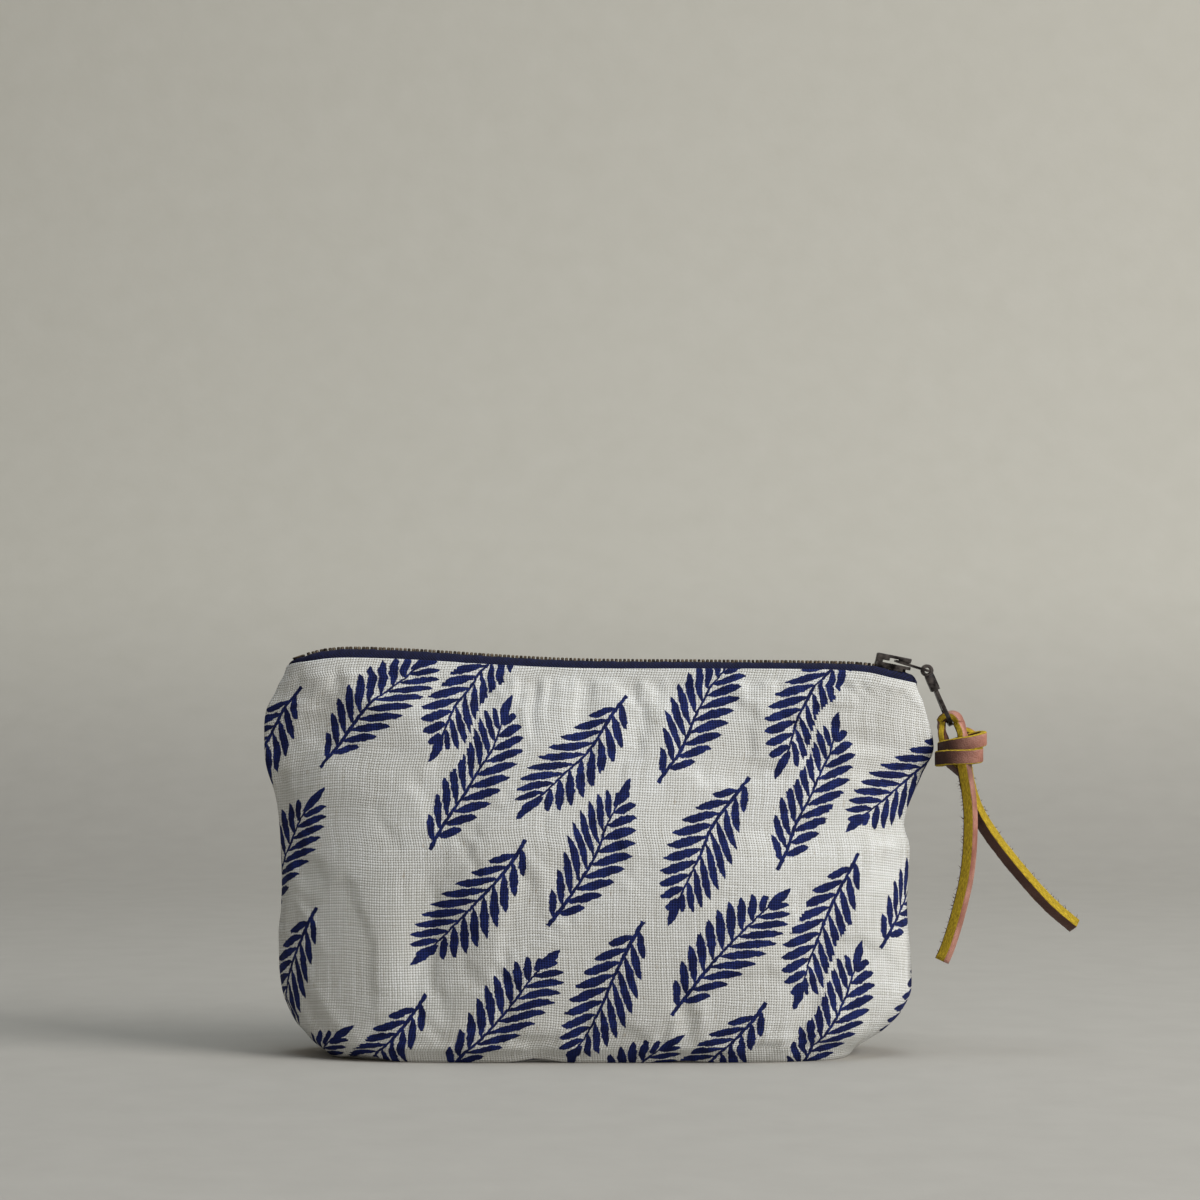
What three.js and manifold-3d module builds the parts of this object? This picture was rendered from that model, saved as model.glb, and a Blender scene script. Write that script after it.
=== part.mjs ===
// A lined linen pouch with a metal zip across its top and a leather lace on the zip's pull.
// Millimetres, +Z up, +X to the right as seen from the front, the front faces -Y.
// The origin lies on the flat underside of the base.

import * as THREE from 'three';
import Module from 'manifold-3d';
import { mergeVertices } from 'three/addons/utils/BufferGeometryUtils.js';

const wasm = await Module();
wasm.setup();

// Driving dimensions: the cloth bag
const pouchHeight = 101.3; // nominal height of the linen's top edge
const halfLength = 85; // half the bag's length at its middle height
const fullHalfDepth = 24.2; // half the bag's depth where it is fullest
const linenThickness = 0.8; // outer cloth with its interfacing
const liningThickness = 0.5;
const tapeThickness = 0.4;
const clothGap = 0.3; // air between two layers that are sewn together
const liningSlack = 0.8; // how much the lining hangs clear of the linen lower down
const liningSetBack = 2; // the lining's top edge lies this far below the linen's
const hemDepth = 7; // how far a tape runs down between linen and lining

// The bag's two side edges as seen from the front: its height and its place along the bag,
// as shares of pouchHeight and of halfLength
const leftEdgeShares = curveThrough([
  [0, -0.8282], [0.0434, -0.8894], [0.0938, -0.9412], [0.1728, -0.98], [0.306, -0.9918], [0.4442, -0.9906],
  [0.5726, -1], [0.6614, -1.0153], [0.7502, -1.0459], [0.8292, -1.0494], [0.8885, -1.0388],
  [0.9378, -1.0059], [1.0069, -0.9694], [1.0563, -0.9647],
]);
const rightEdgeShares = curveThrough([
  [0, 0.7647], [0.0336, 0.8094], [0.0691, 0.8765], [0.1106, 0.9271], [0.1728, 0.9612], [0.3949, 0.9553],
  [0.5331, 0.9635], [0.6022, 0.9506], [0.7206, 1.0059], [0.7897, 1.0424], [0.8983, 1.0059], [0.9576, 0.98],
  [1.0563, 0.9741],
]);
// Half the bag's depth as a share of fullHalfDepth, and how square its section is lengthwise and across
const halfDepthShares = curveThrough([
  [0, 0.8058], [0.0395, 0.9091], [0.1185, 0.9752], [0.2863, 1], [0.4738, 0.9504], [0.6219, 0.8388],
  [0.7601, 0.6612], [0.8588, 0.5207], [0.9378, 0.3884], [1, 0.2975],
]);
const squareAlongAt = curveThrough([
  [0, 5], [0.0592, 4], [0.1974, 3], [0.4344, 2.6], [0.6614, 2.3], [0.8193, 2.8], [0.9181, 6], [1, 14],
]);
const squareAcrossAt = curveThrough([
  [0, 3], [0.0592, 2.4], [0.1974, 2], [0.4344, 1.7], [0.6219, 1.4], [0.8095, 1.25], [0.9378, 1.6], [1, 2],
]);

// Where the stuffed cloth is pushed in, or out if negative, as shares of the bag's three sizes:
// [place along, height, width, height of the dent, depth]
const frontDents = [
  [-0.4941, 0.3356, 0.1059, 0.227, 0.0909],
  [-0.8706, 0.8786, 0.0941, 0.0691, 0.0661],
  [0.3529, 0.612, 0.3059, 0.1185, 0.0579],
  [-0.7765, 0.7206, 0.1412, 0.079, -0.0496],
  [0.6824, 0.2863, 0.1176, 0.1777, 0.0496],
];
const backDents = [
  [0.2824, 0.4245, 0.1647, 0.2172, 0.0744],
  [-0.6118, 0.5923, 0.1882, 0.1382, 0.062],
];

const leftEdge = (z) => halfLength * leftEdgeShares(z / pouchHeight);
const rightEdge = (z) => halfLength * rightEdgeShares(z / pouchHeight);
const halfDepth = (z) => fullHalfDepth * halfDepthShares(z / pouchHeight);
const squareAlong = (z) => squareAlongAt(z / pouchHeight);
const squareAcross = (z) => squareAcrossAt(z / pouchHeight);

// Driving dimensions: the zip
const teethPitch = 2.18; // from tooth to tooth on one side
const toothLength = 0.8; // along the zip
const toothThickness = 2; // up and down
const toothTip = 1.1; // thickness at the head
const toothReach = 0.7; // how far a head passes the middle
const toothRoot = 2.15; // from the middle to the back of a tooth
const cordInner = 1.25;
const cordOuter = 1.95;
const cordThickness = 0.8;
const tapeInner = 2.65; // where the flat tape starts beside the teeth
const tapeFlat = 4.2; // the tape stays level this far from the middle
const chainSetIn = 8.6; // the chain starts this far in from halfLength, at the left
const tapeSetIn = 5.3; // the tapes end this far in from halfLength, at both ends
const chainStart = chainSetIn - halfLength;
const zipEnd = halfLength - tapeSetIn;
const tapeEndEase = 0.3; // more room for the tapes in the bag's rounded ends
const tapeAtStop = 1.2; // where the tapes start inside the bottom stop's jaws

// The rise of the teeth's top over pouchHeight along the bag, both as shares of halfLength
const ridgeShares = curveThrough([
  [-0.9765, 0.0129], [-0.9494, 0.0271], [-0.8941, 0.0447], [-0.8412, 0.0565], [-0.7647, 0.0612],
  [-0.5882, 0.0553], [-0.1176, 0.0271], [0.3529, 0.0212], [0.6824, 0.0176], [0.8235, 0.0118],
  [0.9024, -0.004], [0.9882, -0.0212],
]);
// How far the linen's top edge lies below the teeth's top, as a share of toothThickness
const edgeDropShares = curveThrough([
  [-0.9882, 0.6], [-0.8588, 1.45], [-0.5882, 1.55], [0, 1.4], [0.6824, 1.25], [0.8706, 1.45],
  [0.9882, 1.5],
]);
const ridge = (x) => pouchHeight + halfLength * ridgeShares(x / halfLength);
const edgeDrop = (x) => toothThickness * edgeDropShares(x / halfLength);

// Driving dimensions: the slider and its pull
const sliderSetIn = 8.3; // from halfLength to the middle of the slider, at the closed end
const sliderX = halfLength - sliderSetIn;
const sliderTilt = Math.atan(0.2); // it follows the zip down to the right
const sliderLength = 9.2;
const sliderRearHalf = 3.3; // half width where the closed chain leaves it
const sliderFrontHalf = 3.9; // half width at the shoulders
const lowerPlateTrim = 0.8; // the lower plate is this much narrower and shorter
const plateThickness = 0.8;
const flangeThickness = 0.7;
const flangeSlot = 0.5; // half the slot that the tapes run in
const runningGap = 0.3;
const postLength = 2.6;
const postHalf = 0.9;
const bridgeWidth = 2.6;
const bridgeStrip = 0.6;
const bridgeTop = 4.15; // above the chain's middle
const linkPivotX = 0.8; // from the slider's middle
const linkPivotZ = 3; // above the chain's middle
const linkTilt = THREE.MathUtils.degToRad(17);
const linkReach = 8.3; // from the bar under the bridge to the bar that holds the pull
const linkWidth = 4.6;
const linkRail = 0.7;
const linkThickness = 0.5;
const linkEndBar = 0.9;
const linkWeb = 0.7; // the crossbar before the end bar
const linkWebGap = 2; // from the crossbar to the end bar's middle
const tabTilt = THREE.MathUtils.degToRad(66.5);
const tabReach = 15.35; // from the link's bar to the rim that the lace hangs on
const tabRim = 0.9;
const tabRingInner = 0.85;
const tabRingOuter = 1.55;
const tabRingWidth = 2.2;
const claspStart = 1.3;
const claspEnd = 5.6;
const claspThickness = 2.2;
const claspWidth = 3.4;
const tabThickness = 0.9;
const tabWidth = 6;
const eyeLength = 3.8;
const eyeWidth = 4.2;
const stopLength = 2.4;
const stopInner = 1.3;
const stopOuter = 2.2;
const stopThickness = 1.6;
const bottomStopLength = 3;

// Driving dimensions: the leather lace
const laceWidth = 3.4;
const laceThickness = 2.4;
const loopRadius = 2.4; // of the loop's middle round the pull's rim
const knotHang = [2.47, -2.6, -6.64]; // from the pull's rim to the knot's middle
const upperBand = { x: 0.2, z: 1.8, long: 6.4, deep: 3.7, height: 3.1, tilt: 13 };
const lowerBand = { x: -0.4, z: -1.8, long: 6.4, deep: 3.9, height: 3.4, tilt: 8 };
const knotCore = { x: 0, z: 0, long: 5.2, deep: 3, height: 6, tilt: 9 };
// Each tail's route from the knot's middle
const frontTailRoute = [
  [0.6, -1.9, -4], [1.7, -2.2, -10.8], [2.2, -2.5, -16.8], [2.1, -2.8, -22.8], [1.7, -3, -28.4],
  [0.9, -3.2, -34.1], [-0.4, -3.3, -39.7], [-2, -3.5, -45.5], [-3.9, -3.6, -51.3], [-5.5, -3.7, -54.9],
];
const backTailRoute = [
  [1.1, 1.8, -4], [2.3, 2, -10.5], [4.6, 2.5, -16.5], [8, 3.2, -22.1], [13.2, 4, -28.9], [19, 4.8, -35.7],
  [24.8, 5.6, -41.8], [30.7, 6.4, -46.7],
];

// Materials
const finish = {
  linen: new THREE.MeshStandardMaterial({ color: 0xd8d2c2, roughness: 0.95, metalness: 0 }),
  lining: new THREE.MeshStandardMaterial({ color: 0xe4dfd2, roughness: 0.9, metalness: 0 }),
  tape: new THREE.MeshStandardMaterial({ color: 0x1d2a66, roughness: 0.85, metalness: 0 }),
  metal: new THREE.MeshStandardMaterial({ color: 0x57524d, roughness: 0.38, metalness: 1 }),
  leather: new THREE.MeshStandardMaterial({ color: 0x8a4f35, roughness: 0.6, metalness: 0 }),
};

// A smooth curve through a few [position, value] points, straight on past its ends
function curveThrough(points) {
  const slope = points.map((point, i) => {
    const before = points[Math.max(i - 1, 0)];
    const after = points[Math.min(i + 1, points.length - 1)];
    return (after[1] - before[1]) / (after[0] - before[0]);
  });
  return (at) => {
    const last = points.length - 1;
    if (at <= points[0][0]) return points[0][1] + slope[0] * (at - points[0][0]);
    if (at >= points[last][0]) return points[last][1] + slope[last] * (at - points[last][0]);
    const i = points.findIndex((point) => point[0] > at) - 1;
    const span = points[i + 1][0] - points[i][0];
    const t = (at - points[i][0]) / span;
    const rise = points[i][1] + slope[i] * span * t * (1 - t) * (1 - t);
    const blend = t * t * (3 - 2 * t);
    const end = slope[i + 1] * span * t * t * (t - 1);
    return rise + blend * (points[i + 1][1] - points[i][1]) + end;
  };
}

// The bag's form

const edgeHeight = (x) => ridge(x) - edgeDrop(x);

// A level of the bag is named by its height on a bag with a straight top; this gives its real height
function realHeight(level, x) {
  return level + (edgeHeight(x) - pouchHeight) * (level / pouchHeight) ** 3;
}

function dentFactor(x, z, side) {
  const dents = side < 0 ? frontDents : backDents;
  let depth = 0;
  for (const [along, height, wide, high, deep] of dents) {
    const aside = (x / halfLength - along) / wide;
    const above = (z / pouchHeight - height) / high;
    depth += fullHalfDepth * deep * Math.exp(-(aside ** 2) - above ** 2);
  }
  return 1 - depth / halfDepth(Math.min(z, pouchHeight));
}

// The section at one level, drawn in by an inset: half length, half depth and middle
function sectionAt(level, z, inset) {
  const left = leftEdge(z);
  const right = rightEdge(z);
  return {
    long: (right - left) / 2 - inset,
    deep: halfDepth(level) - inset,
    middle: (right + left) / 2,
    along: squareAlong(level),
    across: squareAcross(level),
  };
}

// How far the bag's wall stands from the middle plane at x
function wallDepth(x, level, inset, side) {
  const z = realHeight(level, x);
  const section = sectionAt(level, z, inset);
  const share = Math.min(Math.abs(x - section.middle) / section.long, 1);
  return section.deep * (1 - share ** section.along) ** (1 / section.across) * dentFactor(x, z, side);
}

// A quarter of a section as even steps along its length, from the side edge to the middle
function quarterOutline(section, shares) {
  const fine = [];
  const samples = 120;
  for (let i = 0; i <= samples; i += 1) {
    const angle = (i / samples) * (Math.PI / 2);
    const x = section.long * Math.cos(angle) ** (2 / section.along);
    const y = section.deep * Math.sin(angle) ** (2 / section.across);
    fine.push([x, y]);
  }
  const lengths = [0];
  for (let i = 1; i <= samples; i += 1) {
    lengths.push(lengths[i - 1] + Math.hypot(fine[i][0] - fine[i - 1][0], fine[i][1] - fine[i - 1][1]));
  }
  return shares.map((share) => {
    const target = share * lengths[samples];
    let i = 1;
    while (i < samples && lengths[i] < target) i += 1;
    const t = (target - lengths[i - 1]) / (lengths[i] - lengths[i - 1]);
    return [
      fine[i - 1][0] + (fine[i][0] - fine[i - 1][0]) * t,
      fine[i - 1][1] + (fine[i][1] - fine[i - 1][1]) * t,
    ];
  });
}

// One closed ring of points round the bag at a level, starting at the right side edge
function bagRing(level, inset, columns) {
  const quarter = columns / 4;
  const crowding = 0.35;
  const shares = [];
  for (let i = 0; i <= quarter; i += 1) {
    const t = i / quarter;
    shares.push(t - (crowding * Math.sin(Math.PI * t)) / Math.PI);
  }
  const ring = [];
  for (let i = 0; i < columns; i += 1) {
    const half = columns / 2;
    const side = i < half ? -1 : 1;
    const step = i % half;
    const towardsLeft = step > quarter;
    const index = towardsLeft ? half - step : step;
    const mirror = towardsLeft === (side < 0) ? -1 : 1;
    const flat = sectionAt(level, level, inset);
    const guess = flat.middle + mirror * quarterOutline(flat, shares)[index][0];
    const height = realHeight(level, guess);
    const section = sectionAt(level, height, inset);
    const [x, y] = quarterOutline(section, shares)[index];
    const atX = section.middle + mirror * x;
    const z = height + inset * (1 - level / pouchHeight);
    ring.push(new THREE.Vector3(atX, side * y * dentFactor(atX, z, side), z));
  }
  return ring;
}

// Levels from the base to the top edge, closer together near both
function bagLevels(rows, top) {
  const levels = [];
  const crowding = 0.62;
  for (let i = 0; i <= rows; i += 1) {
    const t = i / rows;
    levels.push(top * (t - (crowding * Math.sin(2 * Math.PI * t)) / (2 * Math.PI)));
  }
  return levels;
}

// The bag's wall as one closed cup between two insets, from the middle of its base to its open top
function bagShell(outerInsetAt, innerInsetAt, { columns, rows, baseRings }, top) {
  const positions = [];
  const faces = [];
  const addPoint = (point) => positions.push(point.x, point.y, point.z) / 3 - 1;

  const skin = (insetAt, outward) => {
    const levels = bagLevels(rows, top);
    const wall = levels.map((level) => bagRing(level, insetAt(level), columns));
    const foot = wall[0];
    const middle = new THREE.Vector3();
    for (const point of foot) middle.addScaledVector(point, 1 / columns);
    const centre = addPoint(middle);
    const rings = [];
    for (let i = 1; i < baseRings; i += 1) {
      rings.push(foot.map((point) => middle.clone().lerp(point, i / baseRings)));
    }
    rings.push(...wall);
    const indexed = rings.map((ring) => ring.map(addPoint));
    const face = (a, b, c) => (outward ? faces.push(a, b, c) : faces.push(a, c, b));
    for (let i = 0; i < columns; i += 1) {
      const next = (i + 1) % columns;
      face(centre, indexed[0][i], indexed[0][next]);
      for (let row = 0; row + 1 < indexed.length; row += 1) {
        face(indexed[row][i], indexed[row + 1][i], indexed[row + 1][next]);
        face(indexed[row][i], indexed[row + 1][next], indexed[row][next]);
      }
    }
    return indexed[indexed.length - 1];
  };

  const outerRim = skin(outerInsetAt, true);
  const innerRim = skin(innerInsetAt, false);
  for (let i = 0; i < columns; i += 1) {
    const next = (i + 1) % columns;
    faces.push(outerRim[i], innerRim[i], innerRim[next]);
    faces.push(outerRim[i], innerRim[next], outerRim[next]);
  }
  return closedGeometry(positions, faces);
}

// An indexed geometry whose faces are turned to point outwards
function closedGeometry(positions, faces) {
  const geometry = new THREE.BufferGeometry();
  geometry.setAttribute('position', new THREE.Float32BufferAttribute(positions, 3));
  let volume = 0;
  const corner = [new THREE.Vector3(), new THREE.Vector3(), new THREE.Vector3()];
  for (let i = 0; i < faces.length; i += 3) {
    corner.forEach((point, k) => point.fromArray(positions, faces[i + k] * 3));
    volume += corner[0].dot(corner[1].clone().cross(corner[2]));
  }
  if (volume < 0) {
    for (let i = 0; i < faces.length; i += 3) [faces[i], faces[i + 1]] = [faces[i + 1], faces[i]];
  }
  geometry.setIndex(faces);
  return geometry;
}

// Solids and booleans

function toSolid(geometry) {
  const bare = geometry.clone();
  bare.deleteAttribute('normal');
  bare.deleteAttribute('uv');
  const merged = mergeVertices(bare, 1e-4);
  return new wasm.Manifold(new wasm.Mesh({
    numProp: 3,
    vertProperties: new Float32Array(merged.attributes.position.array),
    triVerts: new Uint32Array(merged.index.array),
  }));
}

function toGeometry(solid) {
  const mesh = solid.getMesh();
  const geometry = new THREE.BufferGeometry();
  geometry.setAttribute('position', new THREE.BufferAttribute(new Float32Array(mesh.vertProperties), 3));
  geometry.setIndex(new THREE.BufferAttribute(new Uint32Array(mesh.triVerts), 1));
  return geometry;
}

const joined = (...geometries) => toGeometry(geometries.map(toSolid).reduce((sum, next) => sum.add(next)));
const cutBy = (body, ...tools) => (
  toGeometry(tools.map(toSolid).reduce((rest, tool) => rest.subtract(tool), toSolid(body)))
);

function block(fromX, toX, fromY, toY, fromZ, toZ) {
  const geometry = new THREE.BoxGeometry(toX - fromX, toY - fromY, toZ - fromZ);
  return geometry.translate((fromX + toX) / 2, (fromY + toY) / 2, (fromZ + toZ) / 2);
}

// A level plate with an outline in X and Y
function plate(shape, fromZ, toZ, curveSegments = 6) {
  const geometry = new THREE.ExtrudeGeometry(shape, { depth: toZ - fromZ, bevelEnabled: false, curveSegments });
  return geometry.translate(0, 0, fromZ);
}

// A profile in X and Z, as thick as a width across Y
function crossPiece(shape, width, curveSegments = 8) {
  const geometry = new THREE.ExtrudeGeometry(shape, { depth: width, bevelEnabled: false, curveSegments });
  return geometry.translate(0, 0, -width / 2).rotateX(Math.PI / 2);
}

function outlineOf(points) {
  return new THREE.Shape(points.map(([x, y]) => new THREE.Vector2(x, y)));
}

// The zip

// A tape as a sheet: each station along the zip has a cross line of points and a thickness
function zipTape(side) {
  const stopEnd = chainStart - 1;
  const stations = [-zipEnd, (stopEnd - zipEnd) / 2, stopEnd + 0.1];
  const teethFrom = stopEnd + 0.5;
  const count = 19;
  for (let i = 0; i <= count; i += 1) {
    const t = i / count;
    stations.push(teethFrom + (zipEnd - teethFrom) * (t - 0.1 * Math.sin(2 * Math.PI * t)));
  }
  const line = (x, lift) => {
    const inset = linenThickness + clothGap + tapeEndEase * (x / zipEnd) ** 10;
    const level = ridge(x) - toothThickness / 2;
    const edge = wallDepth(x, pouchHeight, inset + tapeThickness / 2, side);
    const start = x < stopEnd + 0.2 ? tapeAtStop : tapeInner;
    const flat = Math.max(Math.min(tapeFlat, edge - 0.5), start + 0.3);
    const rim = Math.max(edge, flat + 0.2);
    const half = tapeThickness / 2;
    const down = (depth, offset) => {
      const at = pouchHeight - depth;
      return [Math.max(wallDepth(x, at, inset + offset, side), rim), realHeight(at, x)];
    };
    const outward = lift > 0 ? 0 : tapeThickness;
    return [
      [start, level + lift * half],
      [flat, level + lift * half],
      [(flat + rim) / 2 + (lift * half) / 2, level - (level - edgeHeight(x)) * 0.35 + lift * half],
      [rim + lift * half, edgeHeight(x) - 0.1],
      down(hemDepth / 2, outward),
      down(hemDepth, outward),
    ];
  };
  return sheetAlong(stations, (x) => line(x, 1), (x) => line(x, -1), side);
}

// A closed sheet from an upper and a lower line of [distance from the middle, height] at each station
function sheetAlong(stations, upperLine, lowerLine, side) {
  const positions = [];
  const faces = [];
  const rows = stations.map((x) => {
    const upper = upperLine(x);
    const lower = lowerLine(x).reverse();
    return [...upper, ...lower].map(([y, z]) => positions.push(x, side * y, z) / 3 - 1);
  });
  const around = rows[0].length;
  for (let i = 0; i + 1 < rows.length; i += 1) {
    for (let k = 0; k < around; k += 1) {
      const next = (k + 1) % around;
      faces.push(rows[i][k], rows[i][next], rows[i + 1][next]);
      faces.push(rows[i][k], rows[i + 1][next], rows[i + 1][k]);
    }
  }
  for (let k = 0; k + 1 < around / 2; k += 1) {
    const mate = around - 1 - k;
    const first = rows[0];
    const last = rows[rows.length - 1];
    faces.push(first[k], first[mate], first[mate - 1], first[k], first[mate - 1], first[k + 1]);
    faces.push(last[k], last[mate - 1], last[mate], last[k], last[k + 1], last[mate - 1]);
  }
  return closedGeometry(positions, faces);
}

// One row of metal teeth, each pressed on the cord at the tape's edge
function teethRow(side) {
  const half = toothThickness / 2;
  const profile = outlineOf([
    [-toothReach, -toothTip / 2], [toothRoot, -half], [toothRoot, half], [-toothReach, toothTip / 2],
  ]);
  const start = side < 0 ? 0 : teethPitch / 2;
  const end = sliderX - 0.4;
  const teeth = [];
  for (let x = chainStart + start; x < end; x += teethPitch) {
    const tooth = new THREE.ExtrudeGeometry(profile, { depth: toothLength, bevelEnabled: false });
    tooth.translate(0, 0, -toothLength / 2).rotateX(Math.PI / 2).rotateZ(side * (Math.PI / 2));
    const slope = (ridge(x + 1) - ridge(x - 1)) / 2;
    tooth.rotateY(-Math.atan(slope)).translate(x, 0, ridge(x) - half);
    teeth.push(tooth);
  }
  const cordPoints = [];
  const steps = 26;
  const cordEnd = sliderX + postStart() - 0.1;
  for (let i = 0; i <= steps; i += 1) {
    const x = chainStart - 0.6 + (cordEnd - chainStart + 0.6) * (i / steps);
    cordPoints.push(new THREE.Vector3(x, (side * (cordInner + cordOuter)) / 2, ridge(x) - half));
  }
  const cordSection = outlineOf([
    [-(cordOuter - cordInner) / 2, -cordThickness / 2], [(cordOuter - cordInner) / 2, -cordThickness / 2],
    [(cordOuter - cordInner) / 2, cordThickness / 2], [-(cordOuter - cordInner) / 2, cordThickness / 2],
  ]);
  const cord = new THREE.ExtrudeGeometry(cordSection, {
    steps, bevelEnabled: false, extrudePath: new THREE.CatmullRomCurve3(cordPoints),
  });
  return joined(cord, ...teeth);
}

// Where the slider's post and the top stops begin, from the slider's middle
function postStart() {
  return sliderLength / 2 - postLength - 1.1;
}

// The clip that closes the chain's left end, its jaws over the edges of both tapes
function bottomStop() {
  const x = chainStart - 1 - bottomStopLength;
  const half = toothThickness / 2;
  const web = tapeAtStop - clothGap;
  const clip = block(0, bottomStopLength, -toothRoot, toothRoot, -half, half);
  const jaws = [-1, 1].map((side) => {
    const [inner, outer] = [web * side, (toothRoot + 1) * side];
    const slot = tapeThickness / 2 + clothGap;
    return block(-1, bottomStopLength + 1, Math.min(inner, outer), Math.max(inner, outer), -slot, slot);
  });
  const slope = (ridge(x + bottomStopLength) - ridge(x)) / bottomStopLength;
  return cutBy(clip, ...jaws).rotateY(-Math.atan(slope)).translate(x, 0, ridge(x) - half);
}

// A stop at the end of one row, in the slider's mouth beside its post
function topStop(side) {
  const from = postStart() + 0.2;
  const inner = side * stopInner;
  const outer = side * stopOuter;
  return block(
    from, from + stopLength, Math.min(inner, outer), Math.max(inner, outer), -stopThickness / 2, stopThickness / 2,
  );
}

// The slider, drawn level about the chain's middle

function sliderOutline(trim) {
  const rear = -sliderLength / 2;
  const front = sliderLength / 2 - trim;
  const shoulder = front - 2.2;
  const rearHalf = sliderRearHalf - trim / 2;
  const frontHalf = sliderFrontHalf - trim;
  const shape = new THREE.Shape();
  shape.moveTo(rear, -rearHalf);
  shape.lineTo(rear + 3, -rearHalf);
  shape.lineTo(shoulder, -frontHalf);
  shape.quadraticCurveTo(front, -frontHalf, front, -frontHalf * 0.42);
  shape.lineTo(front - 0.7, 0);
  shape.lineTo(front, frontHalf * 0.42);
  shape.quadraticCurveTo(front, frontHalf, shoulder, frontHalf);
  shape.lineTo(rear + 3, rearHalf);
  shape.lineTo(rear, rearHalf);
  shape.closePath();
  return shape;
}

function sliderBody() {
  const inside = toothThickness / 2 + runningGap;
  const upper = plate(sliderOutline(0), inside, inside + plateThickness, 4);
  const lower = plate(sliderOutline(lowerPlateTrim), -inside - plateThickness, -inside, 4);
  const post = plate(outlineOf([
    [postStart(), 0], [postStart() + postLength * 0.45, -postHalf], [postStart() + postLength, -postHalf * 0.6],
    [postStart() + postLength, postHalf * 0.6], [postStart() + postLength * 0.45, postHalf],
  ]), -inside - 0.1, inside + 0.1);
  const pieces = [lower, post];
  const rear = -sliderLength / 2;
  for (const side of [-1, 1]) {
    for (const [trim, fromZ, toZ] of [[0, flangeSlot, inside + 0.1], [lowerPlateTrim, -inside - 0.1, -flangeSlot]]) {
      const rearHalf = sliderRearHalf - trim / 2;
      const shoulder = sliderLength / 2 - trim - 2.2;
      const frontHalf = sliderFrontHalf - trim;
      pieces.push(plate(outlineOf([
        [rear, side * (rearHalf - flangeThickness)], [rear, side * rearHalf], [rear + 3, side * rearHalf],
        [shoulder, side * frontHalf], [shoulder, side * (frontHalf - flangeThickness)],
        [rear + 3, side * (rearHalf - flangeThickness)],
      ]), fromZ, toZ));
    }
  }
  return joined(upper, ...pieces);
}

// The strip that arches over the slider and keeps the link on it
function sliderCover() {
  const foot = toothThickness / 2 + runningGap + plateThickness + clothGap;
  const rear = -sliderLength / 2 + 0.3;
  const front = sliderLength / 2 - 0.2;
  const under = bridgeTop - bridgeStrip;
  const shape = new THREE.Shape();
  shape.moveTo(rear, foot);
  shape.lineTo(rear + 1.1, foot);
  shape.lineTo(rear + 1.1, under - 0.4);
  shape.quadraticCurveTo(rear + 1.1, under, rear + 1.5, under);
  shape.lineTo(front - 0.6, under);
  shape.lineTo(front, under - 0.25);
  shape.quadraticCurveTo(front + 0.3, bridgeTop - 0.3, front - 0.5, bridgeTop);
  shape.lineTo(rear + 0.9, bridgeTop);
  shape.quadraticCurveTo(rear, bridgeTop, rear, bridgeTop - 0.9);
  shape.closePath();
  return crossPiece(shape, bridgeWidth, 4);
}

// The link, drawn level along X from the middle of its inner bar
function pullLink() {
  const half = linkThickness / 2;
  const body = block(-linkEndBar / 2, linkReach + linkEndBar / 2, -linkWidth / 2, linkWidth / 2, -half, half);
  const gap = linkWidth / 2 - linkRail;
  const webEnd = linkReach - linkWebGap;
  const inner = block(linkEndBar / 2 - 0.1, webEnd - linkWeb, -gap, gap, -1, 1);
  const outer = block(webEnd, linkReach - linkEndBar / 2, -gap, gap, -1, 1);
  return cutBy(body, inner, outer);
}

// The pull, drawn level along X from the middle of the link's outer bar
function pullTab() {
  const ring = new THREE.Shape();
  ring.absarc(0, 0, tabRingOuter, 0, 2 * Math.PI);
  const stem = crossPiece(ring, tabRingWidth, 10);
  const clasp = plate(outlineOf([
    [claspStart, -tabRingWidth / 2], [claspStart + 1.2, -claspWidth / 2], [claspEnd, -claspWidth / 2],
    [claspEnd, claspWidth / 2], [claspStart + 1.2, claspWidth / 2], [claspStart, tabRingWidth / 2],
  ]), -claspThickness / 2, claspThickness / 2);
  const end = tabReach + tabRim / 2;
  const blade = new THREE.Shape();
  blade.moveTo(claspEnd - 0.5, -claspWidth / 2 + 0.3);
  blade.lineTo(end - 2.4, -tabWidth / 2);
  blade.quadraticCurveTo(end, -tabWidth / 2, end, 0);
  blade.quadraticCurveTo(end, tabWidth / 2, end - 2.4, tabWidth / 2);
  blade.lineTo(claspEnd - 0.5, claspWidth / 2 - 0.3);
  blade.closePath();
  const bar = plate(blade, -tabThickness / 2, tabThickness / 2, 5);
  const hole = new THREE.Shape();
  hole.absarc(0, 0, tabRingInner, 0, 2 * Math.PI);
  const bore = crossPiece(hole, tabRingWidth + 2, 8);
  const eyeFrom = tabReach - tabRim / 2 - eyeLength;
  const eye = block(eyeFrom, eyeFrom + eyeLength, -eyeWidth / 2, eyeWidth / 2, -2, 2);
  return cutBy(joined(stem, clasp, bar), bore, eye);
}

// Where a point of the level slider, link or pull lies once it is tilted down to the right
function tilted(x, z, tilt) {
  return [x * Math.cos(tilt) + z * Math.sin(tilt), z * Math.cos(tilt) - x * Math.sin(tilt)];
}

const chainMiddle = ridge(sliderX) - toothThickness / 2;
const linkOffset = tilted(linkPivotX, linkPivotZ, sliderTilt);
const linkPivot = [sliderX + linkOffset[0], chainMiddle + linkOffset[1]];
const tabOffset = tilted(linkReach, 0, linkTilt);
const tabPivot = [linkPivot[0] + tabOffset[0], linkPivot[1] + tabOffset[1]];
const rimOffset = tilted(tabReach, 0, tabTilt);
const lacePivot = [tabPivot[0] + rimOffset[0], tabPivot[1] + rimOffset[1]];
const knotCentre = [lacePivot[0] + knotHang[0], knotHang[1], lacePivot[1] + knotHang[2]];

// The lace

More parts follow.
